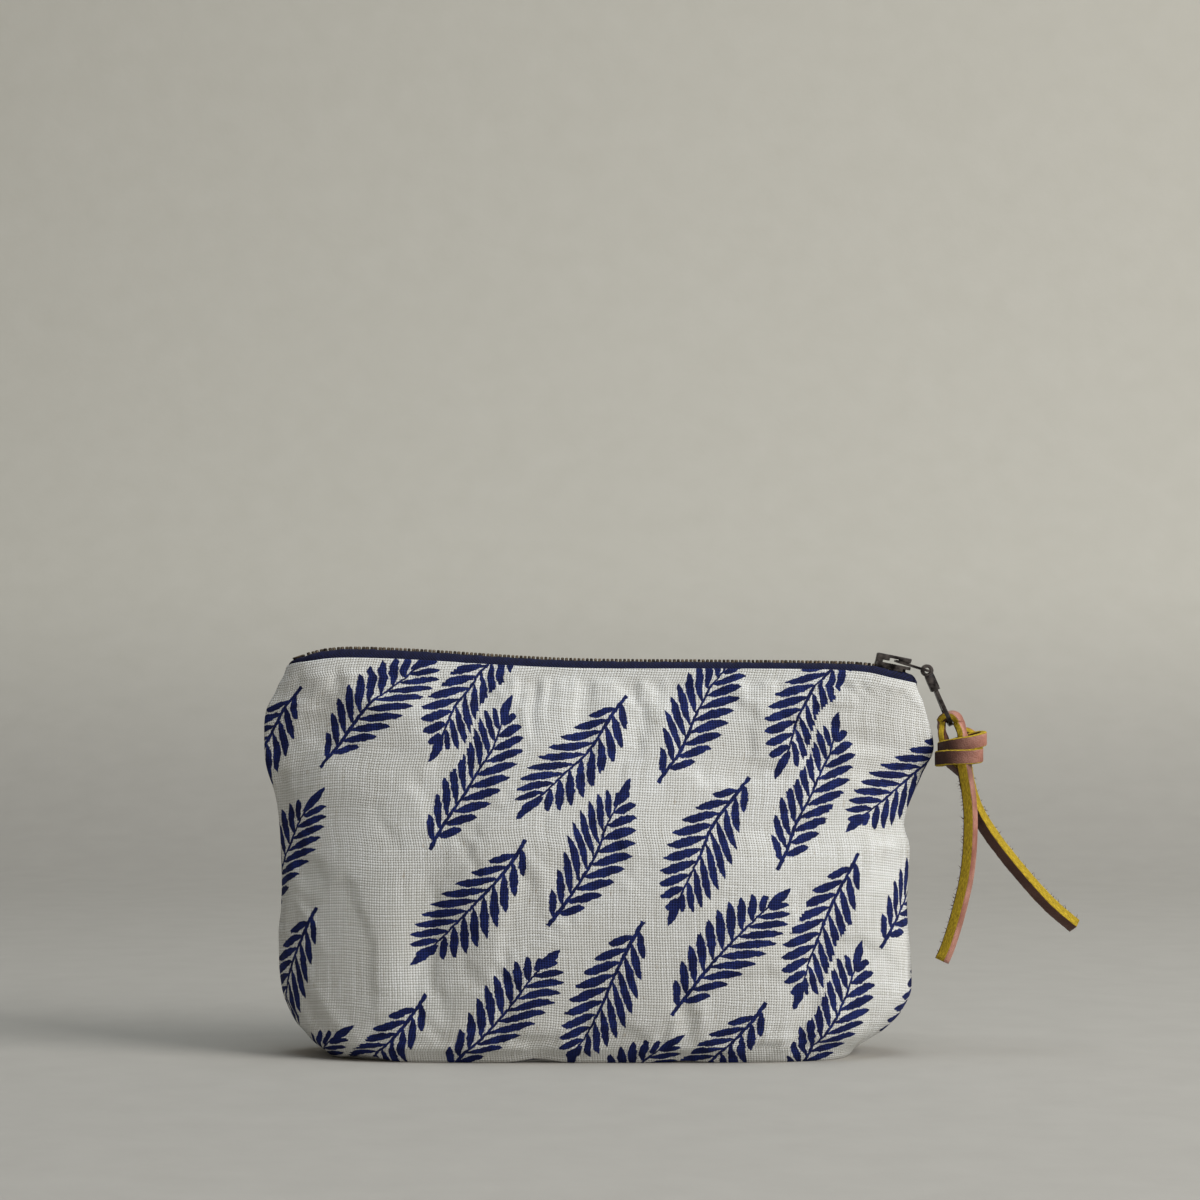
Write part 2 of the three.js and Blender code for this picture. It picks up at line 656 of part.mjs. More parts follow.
function laceSection() {
  const w = laceWidth / 2;
  const t = laceThickness / 2;
  const c = 0.35;
  return outlineOf([[-w, -t + c], [-w + c, -t], [w - c, -t], [w, -t + c], [w, t - c], [w - c, t], [-w + c, t], [-w, t - c]]);
}

function laceAlong(points, steps) {
  const path = new THREE.CatmullRomCurve3(points.map((point) => new THREE.Vector3(...point)));
  return new THREE.ExtrudeGeometry(laceSection(), { steps, bevelEnabled: false, extrudePath: path });
}

// A turn of the lace round the knot, as a flat oval block tilted up to the right
function knotTurn({ x, z, long, deep, height, tilt }) {
  const oval = new THREE.Shape();
  oval.absellipse(0, 0, long, deep, 0, 2 * Math.PI);
  const turn = plate(oval, -height / 2, height / 2, 9);
  turn.rotateY(-THREE.MathUtils.degToRad(tilt));
  return turn.translate(knotCentre[0] + x, knotCentre[1], knotCentre[2] + z);
}

// A tail of the lace, its route given from the knot's middle
function laceTail(route, steps) {
  return laceAlong(route.map((point) => point.map((value, axis) => knotCentre[axis] + value)), steps);
}

function laceKnot() {
  const [px, pz] = lacePivot;
  const loop = [[px - loopRadius + 0.6, knotCentre[1] + 1.2, knotCentre[2] + 1.5]];
  for (const degrees of [195, 160, 125, 90, 55, 20, -15]) {
    const angle = THREE.MathUtils.degToRad(degrees);
    const lean = degrees > 180 || degrees < 0 ? -0.5 : 0;
    loop.push([px + loopRadius * Math.cos(angle), lean, pz + loopRadius * Math.sin(angle)]);
  }
  loop.push([px + loopRadius - 0.2, knotCentre[1] + 1.2, knotCentre[2] + 1.5]);
  return joined(laceAlong(loop, 16), knotTurn(upperBand), knotTurn(lowerBand), knotTurn(knotCore));
}

// Assembly

const pouch = new THREE.Group();

function add(parent, name, geometry, material) {
  const mesh = new THREE.Mesh(geometry, material);
  mesh.name = name;
  parent.add(mesh);
  return mesh;
}

const liningTop = linenThickness + tapeThickness + 2 * clothGap;
const liningInset = (level) => liningTop + liningSlack * THREE.MathUtils.smoothstep(pouchHeight - level, hemDepth, 30);
const liningInner = (level) => liningInset(level) + liningThickness;

const shellMesh = { columns: 40, rows: 17, baseRings: 2 };
const liningMesh = { columns: 28, rows: 9, baseRings: 2 };

add(pouch, 'outer_shell', bagShell(() => 0, () => linenThickness, shellMesh, pouchHeight), finish.linen);
add(pouch, 'lining', bagShell(liningInset, liningInner, liningMesh, pouchHeight - liningSetBack), finish.lining);

for (const [word, side] of [['front', -1], ['back', 1]]) {
  add(pouch, `${word}_tape`, zipTape(side), finish.tape);
  add(pouch, `${word}_teeth`, teethRow(side), finish.metal);
}
add(pouch, 'bottom_stop', bottomStop(), finish.metal);

const chainEnd = new THREE.Group();
chainEnd.position.set(sliderX, 0, chainMiddle);
chainEnd.rotation.y = sliderTilt;
pouch.add(chainEnd);
add(chainEnd, 'front_top_stop', topStop(-1), finish.metal);
add(chainEnd, 'back_top_stop', topStop(1), finish.metal);
add(chainEnd, 'slider_body', sliderBody(), finish.metal);
add(chainEnd, 'slider_cover', sliderCover(), finish.metal);

const link = new THREE.Group();
link.position.set(linkPivot[0], 0, linkPivot[1]);
link.rotation.y = linkTilt;
pouch.add(link);
add(link, 'pull_link', pullLink(), finish.metal);

const tab = new THREE.Group();
tab.position.set(tabPivot[0], 0, tabPivot[1]);
tab.rotation.y = tabTilt;
pouch.add(tab);
add(tab, 'pull_tab', pullTab(), finish.metal);

add(pouch, 'lace_knot', laceKnot(), finish.leather);
add(pouch, 'lace_tail_front', laceTail(frontTailRoute, 16), finish.leather);
add(pouch, 'lace_tail_back', laceTail(backTailRoute, 14), finish.leather);

export default pouch;
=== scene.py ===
# %% [markdown]
# # A lined linen pouch with a metal zip and a leather lace
#
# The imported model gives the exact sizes: a bag about 178 mm long, its zip, the slider with its pull, and
# the lace. This lesson puts a finished surface round that frame: woven and printed linen, twill tape, cast
# metal teeth and split leather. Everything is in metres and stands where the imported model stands.

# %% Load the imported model
import math

import bmesh
import bpy
import numpy as np
from mathutils import Matrix, Vector


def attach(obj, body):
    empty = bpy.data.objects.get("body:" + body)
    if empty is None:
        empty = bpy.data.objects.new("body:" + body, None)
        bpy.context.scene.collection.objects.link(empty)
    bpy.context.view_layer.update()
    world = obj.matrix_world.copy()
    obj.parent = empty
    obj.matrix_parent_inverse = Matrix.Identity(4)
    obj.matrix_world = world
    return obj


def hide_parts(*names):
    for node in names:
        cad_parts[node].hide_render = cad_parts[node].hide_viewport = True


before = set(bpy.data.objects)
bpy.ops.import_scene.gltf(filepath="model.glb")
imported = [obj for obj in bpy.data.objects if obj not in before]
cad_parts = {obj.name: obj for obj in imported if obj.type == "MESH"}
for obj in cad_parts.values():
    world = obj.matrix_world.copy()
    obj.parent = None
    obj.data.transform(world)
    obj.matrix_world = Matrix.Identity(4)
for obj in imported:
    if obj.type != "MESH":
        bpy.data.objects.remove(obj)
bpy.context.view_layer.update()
mm = 0.001
chance = np.random.default_rng(7)

# %% [markdown]
# ## Camera
#
# The pouch is seen straight from the front, from the height of its zip, with a long lens. A camera could be
# turned until the picture looks right, but it is quicker to work back from the perspective: the distance and
# the height are typed here, and the lens follows from how wide the pouch stands in the picture.

# %% Camera at the height of the zip
camera_distance = 0.8
camera_height = 0.10835
camera_pitch = math.radians(0.754)
focal_pixels, picture_width = 3040, 1200
sensor_width = 36

bpy.ops.object.camera_add(
    location=(0, -camera_distance, camera_height), rotation=(math.pi / 2 + camera_pitch, 0, 0))
camera = bpy.context.object
camera.data.sensor_width = sensor_width
camera.data.lens = sensor_width * focal_pixels / picture_width
bpy.context.scene.camera = camera
print("lens", round(camera.data.lens, 1), "mm")

# %% [markdown]
# ## Studio
#
# A small product like this is lit with one large soft lamp from the right, a weak fill and a cool lamp
# overhead, so that the left side of the bag turns away into shade and the weave shows. The floor and the
# backdrop are one pale sweep: a grid is bent up at its back edge by moving its vertices.

# %% Lamps and world
lamp_size, pouch_middle = 0.9, Vector((0, 0, 0.05))
warm_white = (1, 0.94, 0.85)


def soft_lamp(name, place, watts, tint):
    """A square area lamp that looks at the pouch."""
    bpy.ops.object.light_add(type="AREA", location=place)
    lamp = bpy.context.object
    lamp.name = name
    lamp.data.size, lamp.data.energy, lamp.data.color = lamp_size, watts, tint
    lamp.rotation_euler = (pouch_middle - lamp.location).to_track_quat("-Z", "Y").to_euler()
    print(name, watts, "W")


soft_lamp("key", (1.5, -0.75, 1.05), 37.0, (1, 0.985, 0.96))
soft_lamp("fill", (0.1, -1.4, 0.45), 2.0, warm_white)
soft_lamp("sky", (0.1, -0.1, 1.3), 8.0, (0.84, 0.93, 1))

world = bpy.data.worlds.new("studio")
bpy.context.scene.world = world
world.use_nodes = True
background = world.node_tree.nodes["Background"]
background.inputs["Color"].default_value = (*warm_white, 1)
background.inputs["Strength"].default_value = 0.16
bpy.context.scene.view_settings.view_transform = "Standard"

# %% [markdown]
# ## Writing finishes as sums
#
# A finish in Blender is a graph of nodes. Drawn by hand it is hard to read back, so here it is written as
# arithmetic. `Level` wraps one socket, and adding or multiplying two of them makes the Math node. Any other
# node comes from `Finish.node`, which takes its type, its settings and what goes into its sockets.

# %% Colours
def srgb(red, green, blue):
    """A colour that was read off a screen, 0 to 255, as the linear colour that a shader needs."""
    def linear(value):
        value /= 255
        return value / 12.92 if value <= 0.04045 else ((value + 0.055) / 1.055) ** 2.4
    return (linear(red), linear(green), linear(blue), 1)


print("mid grey of a screen is", round(srgb(128, 128, 128)[0], 3), "of white")


# %% Sockets that add and multiply
def both_ways(operation):
    """An operator for a socket on its left, and the same for a socket on its right."""
    return (lambda self, other: self.sum(operation, self, other),
            lambda self, other: self.sum(operation, other, self))


class Level:
    """One output socket. Arithmetic on it adds Math nodes."""

    def __init__(self, finish, socket):
        self.finish, self.socket = finish, socket

    def sum(self, operation, *values):
        return self.finish.node("ShaderNodeMath", {"operation": operation}, dict(enumerate(values)))

    __add__, __radd__ = both_ways("ADD")
    __sub__, __rsub__ = both_ways("SUBTRACT")
    __mul__, __rmul__ = both_ways("MULTIPLY")

    def __truediv__(self, other): return self.sum("DIVIDE", self, other)
    def __pow__(self, other): return self.sum("POWER", self, other)
    def __gt__(self, other): return self.sum("GREATER_THAN", self, other)
    def __lt__(self, other): return self.sum("LESS_THAN", self, other)
    def __abs__(self): return self.sum("ABSOLUTE", self)
    def sine(self): return self.sum("SINE", self)
    def sign(self): return self.sum("SIGN", self)
    def whole(self): return self.sum("ROUND", self)
    def fraction(self): return self.sum("FRACT", self)
    def highest(self, other): return self.sum("MAXIMUM", self, other)
    def lowest(self, other): return self.sum("MINIMUM", self, other)

    def between(self, low, high):
        """0 below low, 1 above high and a smooth step between."""
        return self.finish.node(
            "ShaderNodeMapRange", {"interpolation_type": "SMOOTHSTEP", "clamp": True},
            {"Value": self, "From Min": low, "From Max": high})


# %% Finishes
class Finish:
    """A procedural material, written from its surface back to its pattern."""

    def __init__(self, name, roughness=0.5, metallic=0.0, specular=0.5):
        self.material = bpy.data.materials.new(name)
        self.material.use_nodes = True
        self.tree = self.material.node_tree
        self.shader = self.tree.nodes["Principled BSDF"]
        self.shader.inputs["Roughness"].default_value = roughness
        self.shader.inputs["Metallic"].default_value = metallic
        self.shader.inputs["Specular IOR Level"].default_value = specular

    def put(self, socket, value):
        """Links a level to a socket, or sets the socket's own value."""
        if isinstance(value, Level):
            self.tree.links.new(value.socket, socket)
        else:
            socket.default_value = value

    def node(self, kind, settings, inputs, output=0):
        """Any node, from its type, its settings and what goes into its sockets."""
        made = self.tree.nodes.new(kind)
        for key, value in settings.items():
            setattr(made, key, value)
        for key, value in inputs.items():
            self.put(made.inputs[key], value)
        return Level(self, made.outputs[output])

    def surface(self, **values):
        """What goes into the shader's own sockets, named with _ for a space."""
        for key, value in values.items():
            self.put(self.shader.inputs[key.replace("_", " ")], value)

    def place(self):
        return self.node("ShaderNodeTexCoord", {}, {}, "Object")

    def parts(self, vector):
        """The x, y and z of a vector."""
        made = self.tree.nodes.new("ShaderNodeSeparateXYZ")
        self.put(made.inputs[0], vector)
        return [Level(self, socket) for socket in made.outputs]

    def cloth_map(self, name):
        """Both coordinates of a UV map, in millimetres."""
        return self.parts(self.node("ShaderNodeUVMap", {"uv_map": name}, {}))[:2]

    def attribute(self, name):
        return self.node("ShaderNodeAttribute", {"attribute_name": name}, {}, "Fac")

    def together(self, x, y, z=0.0):
        return self.node("ShaderNodeCombineXYZ", {}, {0: x, 1: y, 2: z})

    def noise(self, where, scale, detail=2.0, roughness=0.5):
        return self.node(
            "ShaderNodeTexNoise", {},
            {"Vector": where, "Scale": scale, "Detail": detail, "Roughness": roughness})

    def mix(self, share, first, second):
        """A colour between two colours."""
        made = self.tree.nodes.new("ShaderNodeMix")
        made.data_type = "RGBA"
        for socket, value in ((made.inputs[0], share), (made.inputs[6], first), (made.inputs[7], second)):
            self.put(socket, value)
        return Level(self, made.outputs[2])

    def bump(self, height, depth, strength=1.0):
        """Relief from a height of 0 to 1, that deep in metres."""
        return self.node("ShaderNodeBump", {}, {"Strength": strength, "Distance": depth, "Height": height})


# %% The floor and the backdrop in one sweep
floor_finish = Finish("pale_sweep", roughness=0.9, specular=0.2)
grain = floor_finish.noise(floor_finish.place(), 60.0, 4.0)
rising = floor_finish.parts(floor_finish.place())[2].between(0.0, 0.16)
floor_tone = floor_finish.mix(grain, srgb(161, 158, 152), srgb(169, 166, 160))
wall_tone = floor_finish.mix(grain, srgb(187, 184, 174), srgb(194, 191, 182))
floor_finish.surface(
    Base_Color=floor_finish.mix(rising, floor_tone, wall_tone),
    Normal=floor_finish.bump(grain, 0.0003))

sweep_size, bend_start, bend_radius = 6, 0.55, 0.5
bpy.ops.mesh.primitive_grid_add(x_subdivisions=8, y_subdivisions=80, size=sweep_size, location=(0, 0, 0))
sweep = bpy.context.object
sweep.name = "floor"
for vertex in sweep.data.vertices:
    past = vertex.co.y - bend_start
    if past > 0:
        turn = min(past / bend_radius, math.pi / 2)
        rise = max(past - bend_radius * math.pi / 2, 0)
        vertex.co.y = bend_start + bend_radius * math.sin(turn)
        vertex.co.z = bend_radius * (1 - math.cos(turn)) + rise
bpy.ops.object.shade_smooth()
sweep.data.materials.append(floor_finish.material)
print("sweep of", len(sweep.data.vertices), "points")

# %% [markdown]
# ## Leather lace
#
# The lace is split leather, nearly as thick as it is wide. Its grain side is a pinkish brown, its flesh
# side dark and hairy, and the knife has bared a mustard core along both cut edges. A curve with a bevel would
# give the shape, but its section can't carry the three surfaces, so the strap is laid ring by ring along
# its route, and each ring notes which side of the strap every point is on.

# %% A finish with a grain side, a flesh side and two cut edges
def leather_finish():
    made = Finish("split_leather", roughness=0.6, specular=0.35)
    where = made.place()
    along, across = made.cloth_map("strap")
    face = made.attribute("face")  # 1 on the grain side, 0 on the cut edges, -1 on the flesh side
    on_grain, on_flesh = face.between(0.35, 0.6), (face * -1.0).between(0.35, 0.6)
    wear_and_shade = made.attribute("wear_and_shade")  # 0 where shade is painted on the grain, 1 where the grain is left as lit
    pores = made.node(
        "ShaderNodeTexVoronoi", {"feature": "F1"}, {"Vector": where, "Scale": 2600.0}, "Distance")
    blotch = made.noise(where, 160.0, 3.0)
    fibre = made.noise(made.together(along * 0.35, across * 2.2), 2.4, 4.0, 0.7)
    grain_colour = made.mix(blotch.between(0.3, 0.7), srgb(140, 88, 72), srgb(182, 130, 114))
    grain_colour = made.mix(pores.between(0.55, 0.15) * 0.4, grain_colour, srgb(104, 58, 42))
    # Painted shade: the grain darkens to near black where this number is low, on the sides that turn away
    # from the key lamp
    grain_colour = made.mix((1 - wear_and_shade) * 0.93, grain_colour, srgb(32, 13, 7))
    edge_colour = made.mix(fibre.between(0.3, 0.72), srgb(112, 92, 6), srgb(214, 182, 44))
    flesh_colour = made.mix(fibre.between(0.3, 0.7), srgb(44, 22, 14), srgb(96, 56, 34))
    relief = fibre * (1 - on_grain) + pores * 0.35 * on_grain
    made.surface(
        Base_Color=made.mix(on_flesh, made.mix(on_grain, edge_colour, grain_colour), flesh_colour),
        Roughness=0.42 + 0.42 * (1 - on_grain) + 0.12 * blotch,
        Normal=made.bump(relief, 0.00022))
    return made.material


leather = leather_finish()
print(leather.name, "has", len(leather.node_tree.nodes), "nodes")


# %% The routes of the two tails
def run_along(points):
    """How far each point lies along a line of points."""
    return np.concatenate([[0], np.cumsum(np.linalg.norm(np.diff(points, axis=0), axis=1))])


def through(points, count):
    """Evenly spaced points on a smooth line through a few points."""
    points = np.array(points, float)
    ends = np.vstack([2 * points[0] - points[1], points, 2 * points[-1] - points[-2]])
    fine = []
    for before, start, end, after in zip(ends, ends[1:], ends[2:], ends[3:]):
        for t in np.linspace(0, 1, 40, endpoint=False):
            bow = 2 * before - 5 * start + 4 * end - after
            swing = 3 * start - before - 3 * end + after
            fine.append(0.5 * (2 * start + (end - before) * t + bow * t ** 2 + swing * t ** 3))
    fine = np.array(fine + [points[-1]])
    run = run_along(fine)
    wanted = np.linspace(0, run[-1], count)
    return np.stack([np.interp(wanted, run, fine[:, axis]) for axis in range(3)], 1)


front_tail_route = [
    (94.9, -4.1, 78.2), (95.2, -4.5, 75.6), (96.3, -4.8, 68.8), (96.8, -5.1, 62.8), (96.7, -5.4, 56.8),
    (96.3, -5.6, 51.2), (95.5, -5.8, 45.5), (94.2, -5.9, 39.9), (92.6, -6.1, 34.1), (90.7, -6.2, 28.3),
    (89.1, -6.3, 24.7)]
back_tail_route = [
    (95.5, -1.2, 78.2), (95.7, -0.8, 75.6), (96.9, -0.6, 69.1), (99.2, -0.1, 63.1), (102.6, 0.6, 57.5),
    (107.8, 1.4, 50.7), (113.6, 2.2, 43.9), (119.4, 3, 37.8), (125.3, 3.8, 32.9)]

tail_rings, tail_width, tail_thickness = 60, 3.2, 3.0
front_route = through(front_tail_route, tail_rings)
back_route = through(back_tail_route, tail_rings)
print("tails", round(run_along(front_route)[-1], 1), "and", round(run_along(back_route)[-1], 1), "mm")


# %% The strap's section
def strap_section(width, thickness, wrap, corner=0.4, steps=3):
    """The strap's outline across its width and thickness, with the side that each point is on."""
    outline = []
    for quarter, (u, v) in enumerate(((1, 1), (-1, 1), (-1, -1), (1, -1))):
        for step in range(steps + 1):
            angle = math.pi / 2 * (quarter + step / steps)
            outline.append((
                u * (width / 2 - corner) + corner * math.cos(angle),
                v * (thickness / 2 - corner) + corner * math.sin(angle)))
    for (a, b), (c, d) in zip(list(outline), outline[1:] + outline[:1]):
        if abs(c - a) > 2 * corner or abs(d - b) > 2 * corner:
            outline.append(((a + c) / 2, (b + d) / 2))
    outline.sort(key=lambda point: math.atan2(point[1] * width, point[0] * thickness))
    skin = thickness / 2 - max(wrap * corner, 0.03)
    return [(u, v, 1 if v > skin else -1 if v < -skin else 0) for u, v in outline]


print("points round a tail", len(strap_section(tail_width, tail_thickness, 0.8)))


# %% The strap, ring by ring
def unit(vectors):
    """Rows of vectors, each made one long."""
    return vectors / np.linalg.norm(vectors, axis=1)[:, None]


def add_mesh(name, points, faces):
    """A new piece from points in millimetres and from faces."""
    mesh = bpy.data.meshes.new(name)
    mesh.from_pydata((np.array(points) * mm).tolist(), [], faces)
    piece = bpy.data.objects.new(name, mesh)
    bpy.context.collection.objects.link(piece)
    return piece


def face_outward(mesh):
    """Turns the faces of a closed mesh outward."""
    build = bmesh.new()
    build.from_mesh(mesh)
    bmesh.ops.recalc_face_normals(build, faces=build.faces)
    build.to_mesh(mesh)
    build.free()


def write_numbers(mesh, name, values, domain="POINT"):
    """Notes one number on each point or corner, for a finish to read."""
    mesh.attributes.new(name, "FLOAT", domain).data.foreach_set("value", np.array(values, np.float32))


def strap_axes(route, grain_side, closed=False):
    """At each point of a route, the way it runs, the way its grain faces and the way across it."""
    if closed:
        heading = unit(np.roll(route, -1, 0) - np.roll(route, 1, 0))
    else:
        heading = unit(np.gradient(route, axis=0))
    side = np.array(grain_side, float) * np.ones((len(route), 1))
    side = unit(side - (side * heading).sum(1)[:, None] * heading)
    return heading, side, np.cross(heading, side)


def strap(name, route, grain_side, width=3.4, thickness=2.4, closed=False, wear_and_shade=1.0, wrap=0.6):
    """A strap along a route in millimetres. grain_side gives the way its grain faces at each route point."""
    section = strap_section(width, thickness, wrap)
    route = np.array(route, float)
    count, around = len(route), len(section)
    _, side, over = strap_axes(route, grain_side, closed)
    run = run_along(route)
    fray = chance.normal(0, 0.03, (count, around))
    points = np.array([
        [route[i] + over[i] * (u + fray[i, k]) + side[i] * (v + fray[i, k] * 0.6)
         for k, (u, v, _) in enumerate(section)] for i in range(count)]).reshape(-1, 3)
    faces = []
    for i in range(count if closed else count - 1):
        for k in range(around):
            a, b = i * around + k, i * around + (k + 1) % around
            c, d = ((i + 1) % count) * around + (k + 1) % around, ((i + 1) % count) * around + k
            faces.append((a, b, c, d))
    if not closed:
        faces += [tuple(reversed(range(around))), tuple(range((count - 1) * around, count * around))]
    piece = add_mesh(name, points, faces)
    mesh = piece.data
    write_numbers(mesh, "face", np.tile([f for *_, f in section], count))
    # Per ring, how much of the grain is left lit: a lower number paints shade on it
    write_numbers(mesh, "wear_and_shade", np.repeat(wear_and_shade * np.ones(count), around))
    uv = mesh.uv_layers.new(name="strap")
    girth = np.cumsum([0] + [math.dist(section[k][:2], section[(k + 1) % around][:2]) for k in range(around)])
    for polygon in mesh.polygons:
        for loop in polygon.loop_indices:
            i, k = divmod(mesh.loops[loop].vertex_index, around)
            uv.data[loop].uv = (run[i], girth[k])
    face_outward(mesh)
    mesh.materials.append(leather)
    mesh.polygons.foreach_set("use_smooth", [True] * len(mesh.polygons))
    return piece


# %% The two tails, as free cords
front_grain = np.array((0.88, -0.46, 0.1))
# The front tail's grain gets painted shade at its top, under the knot; the back tail's grain, which turns
# away from the key lamp, gets painted shade along all of it
front_tail = strap("front_tail", front_route, front_grain, width=tail_width, thickness=tail_thickness,
                   wrap=0.8, wear_and_shade=np.minimum(1, np.linspace(0.4, 3, tail_rings)))
back_grain = np.linspace((-0.6, -0.72, -0.2), (-0.54, -0.70, -0.47), tail_rings)
back_tail = strap("back_tail", back_route, back_grain, width=tail_width, thickness=tail_thickness,
                  wrap=0.2, wear_and_shade=np.linspace(0.0, 0.2, tail_rings))
for tail, route, node in (
        (front_tail, front_route, "lace_tail_front"), (back_tail, back_route, "lace_tail_back")):
    length = float(np.linalg.norm(np.diff(route, axis=0), axis=1).sum()) * mm
    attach(tail, "lace")
    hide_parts(node)
    print(tail.name, round(length, 4), "m")

# %% [markdown]
# ## Loose fibres
#
# Split leather sheds short fibres along its flesh side. A particle system would do, but a few hundred tiny
# three-sided spikes are lighter and stay where they are put.

# %% Spikes along the flesh side
def fibres(name, route, grain_side, count):
    """Short spikes that lean off the flesh side of a tail."""
    heading, side, over = strap_axes(route, grain_side)
    points, faces = [], []
    for _ in range(count):
        i = int(chance.integers(1, len(route) - 1))
        edge = chance.choice([-1, 1]) * chance.uniform(0.75, 0.98)
        foot = route[i] - side[i] * (tail_thickness / 2 - 0.06) + over[i] * edge * tail_width / 2
        lean = over[i] * edge * 0.5 - side[i] * chance.uniform(0.5, 1)
        tip = foot + (lean + heading[i] * chance.uniform(-0.9, 0.9)) * chance.uniform(0.4, 1.15)
        thick = chance.uniform(0.05, 0.11)
        start = len(points)
        points += [foot + heading[i] * thick, foot - heading[i] * thick, foot + over[i] * thick, tip]
        spike = (0, 1, 3), (1, 2, 3), (2, 0, 3), (0, 2, 1)
        faces += [(start + a, start + b, start + c) for a, b, c in spike]
    piece = add_mesh(name, points, faces)
    mesh = piece.data
    face_outward(mesh)
    write_numbers(mesh, "face", [-1] * len(points))
    write_numbers(mesh, "wear_and_shade", [0.7] * len(points))
    mesh.uv_layers.new(name="strap")
    mesh.materials.append(leather)
    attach(piece, "lace")
    print(name, count, "spikes")


fibres("fibres_front", front_route, front_grain, 170)
fibres("fibres_back", back_route, back_grain, 110)

# %% [markdown]
# ## The lace's loop and knot
#
# The lace is doubled, its bight goes through the eye of the pull, and both ends are wrapped round it and
# pulled tight. From the front the knot shows two flat turns that climb to the right. Each turn is an oval
# ring of strap, a little wider than the core that it is wound on.

# %% The loop through the pull and the turns of the knot
knot_middle = np.array([94.6, -2.6, 79.6])
eye_middle = np.array([92.13, 0, 86.24])


def select(*pieces):
    """Selects these pieces and nothing else, with the first one active."""
    bpy.ops.object.select_all(action="DESELECT")
    for piece in pieces:
        piece.select_set(True)
    if pieces:
        bpy.context.view_layer.objects.active = pieces[0]


def knot_turn(name, centre, long, deep, tilt, width, count=72):
    """One turn of strap round the knot, higher at its right end."""
    angle = np.linspace(0, 2 * math.pi, count, endpoint=False)
    x, y = long * np.cos(angle), deep * np.sin(angle)
    ring = np.stack([x, y, x * math.tan(math.radians(tilt)) + 0.25 * np.sin(2 * angle)], 1) + centre
    outward = np.stack([np.cos(angle) * deep, np.sin(angle) * long, np.zeros(count)], 1)
    # Painted shade: each turn's grain darkens towards its left and its back, away from the key lamp
    lit_share = np.clip(0.42 + 0.66 * np.cos(angle) - 0.25 * np.maximum(np.sin(angle), 0), 0, 1)
    return strap(name, ring, outward, width=width, thickness=1.5, closed=True, wear_and_shade=lit_share, wrap=0.1)


loop_route = [knot_middle + (-3.6, 0.9, 0.4), knot_middle + (-4.5, 1.1, 3.4)]
loop_route += [eye_middle + 2.35 * np.array([math.cos(a), 0, math.sin(a)]) + (0, 0.2 if a > 2 else 0, 0)
               for a in np.radians([175, 150, 120, 90, 60, 30, 2])]
loop_route += [knot_middle + (0.6, 0.3, 3.4), knot_middle + (1.2, 0.5, 0.4)]
loop_line = through(loop_route, 60)
loop_middle = (92.1, 0, 84.0)
to_right = np.clip((loop_line[:, 0] - 90.3) / 3.4, 0, 1)
outward = loop_line - loop_middle
outward[:, 1] = (0.3 - 0.85 * to_right) * np.linalg.norm(outward, axis=1)
tuck_line = through([(95.2, 1.5, 84.3), (97.3, 1.3, 83.9), (99.5, 1.0, 82.0)], 12)
under_line = through([(89.6, -1.2, 78.0), (91.6, -2.4, 76.0), (94.6, -3.3, 73.4)], 16)
turns = [
    # The loop's grain gets painted shade towards its left, and the strap under the knot gets it nearly all
    # over
    strap("lace_loop", loop_line, outward, width=3.2, thickness=2.0, wear_and_shade=0.35 + 0.65 * to_right),
    knot_turn("knot_upper", knot_middle + (0.35, 0, 1.6), 5.7, 2.9, 14, 3.7),
    knot_turn("knot_lower", knot_middle + (-0.5, -0.15, -1.8), 5.6, 3.2, 6, 3.9),
    strap("knot_tuck", tuck_line, (0.5, 0.4, 0.8), width=2.6, thickness=1.8),
    strap("knot_under", under_line, (-0.6, -0.5, -0.6), width=2.6, thickness=1.4, wear_and_shade=0.1),
]
select()
bpy.ops.mesh.primitive_uv_sphere_add(segments=24, ring_count=12, location=tuple(knot_middle * mm))
core = bpy.context.object
core.name = "knot_core"
core.scale = (4.9 * mm, 2.4 * mm, 3.2 * mm)
bpy.ops.object.transform_apply(location=True, rotation=False, scale=True)
bpy.ops.object.shade_smooth()
core.data.materials.append(leather)
write_numbers(core.data, "face", [-1] * len(core.data.vertices))
core.data.uv_layers[0].name = "strap"
turns.append(core)
for piece in turns:
    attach(piece, "lace")
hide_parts("lace_knot")
print("knot of", len(turns), "pieces")

# %% [markdown]
# ## Linen
#
# The bag is one cloth folded under the base and sewn up both sides, full and soft, with boxed bottom corners.
# A cube swollen by a cloth simulation would lose the flat mouth, so the cloth is laid out first: rings of
# points from the base to the mouth, each a rounded section with its own length, depth and squareness.

# %% A smooth curve through a few values
def curve_through(points):
    """A smooth curve through [position, value] points, straight past its ends."""
    knots, values = np.array(points, float).T
    last = len(knots) - 1
    slopes = np.array([
        (values[min(i + 1, last)] - values[max(i - 1, 0)]) / (knots[min(i + 1, last)] - knots[max(i - 1, 0)])
        for i in range(last + 1)])

    def at(place):
        place = np.asarray(place, float)
        i = np.clip(np.searchsorted(knots, place, side="right") - 1, 0, last - 1)
        span = knots[i + 1] - knots[i]
        t = (place - knots[i]) / span
        climb = t * t * (3 - 2 * t) * (values[i + 1] - values[i])
        bend = slopes[i] * span * t * (1 - t) ** 2 + slopes[i + 1] * span * t * t * (t - 1)
        inside = values[i] + climb + bend
        below = values[0] + slopes[0] * (place - knots[0])
        above = values[last] + slopes[last] * (place - knots[last])
        return np.where(place <= knots[0], below, np.where(place >= knots[last], above, inside))

    return at


print("halfway between 0 and 1:", curve_through([(0, 0), (1, 1)])(0.5))

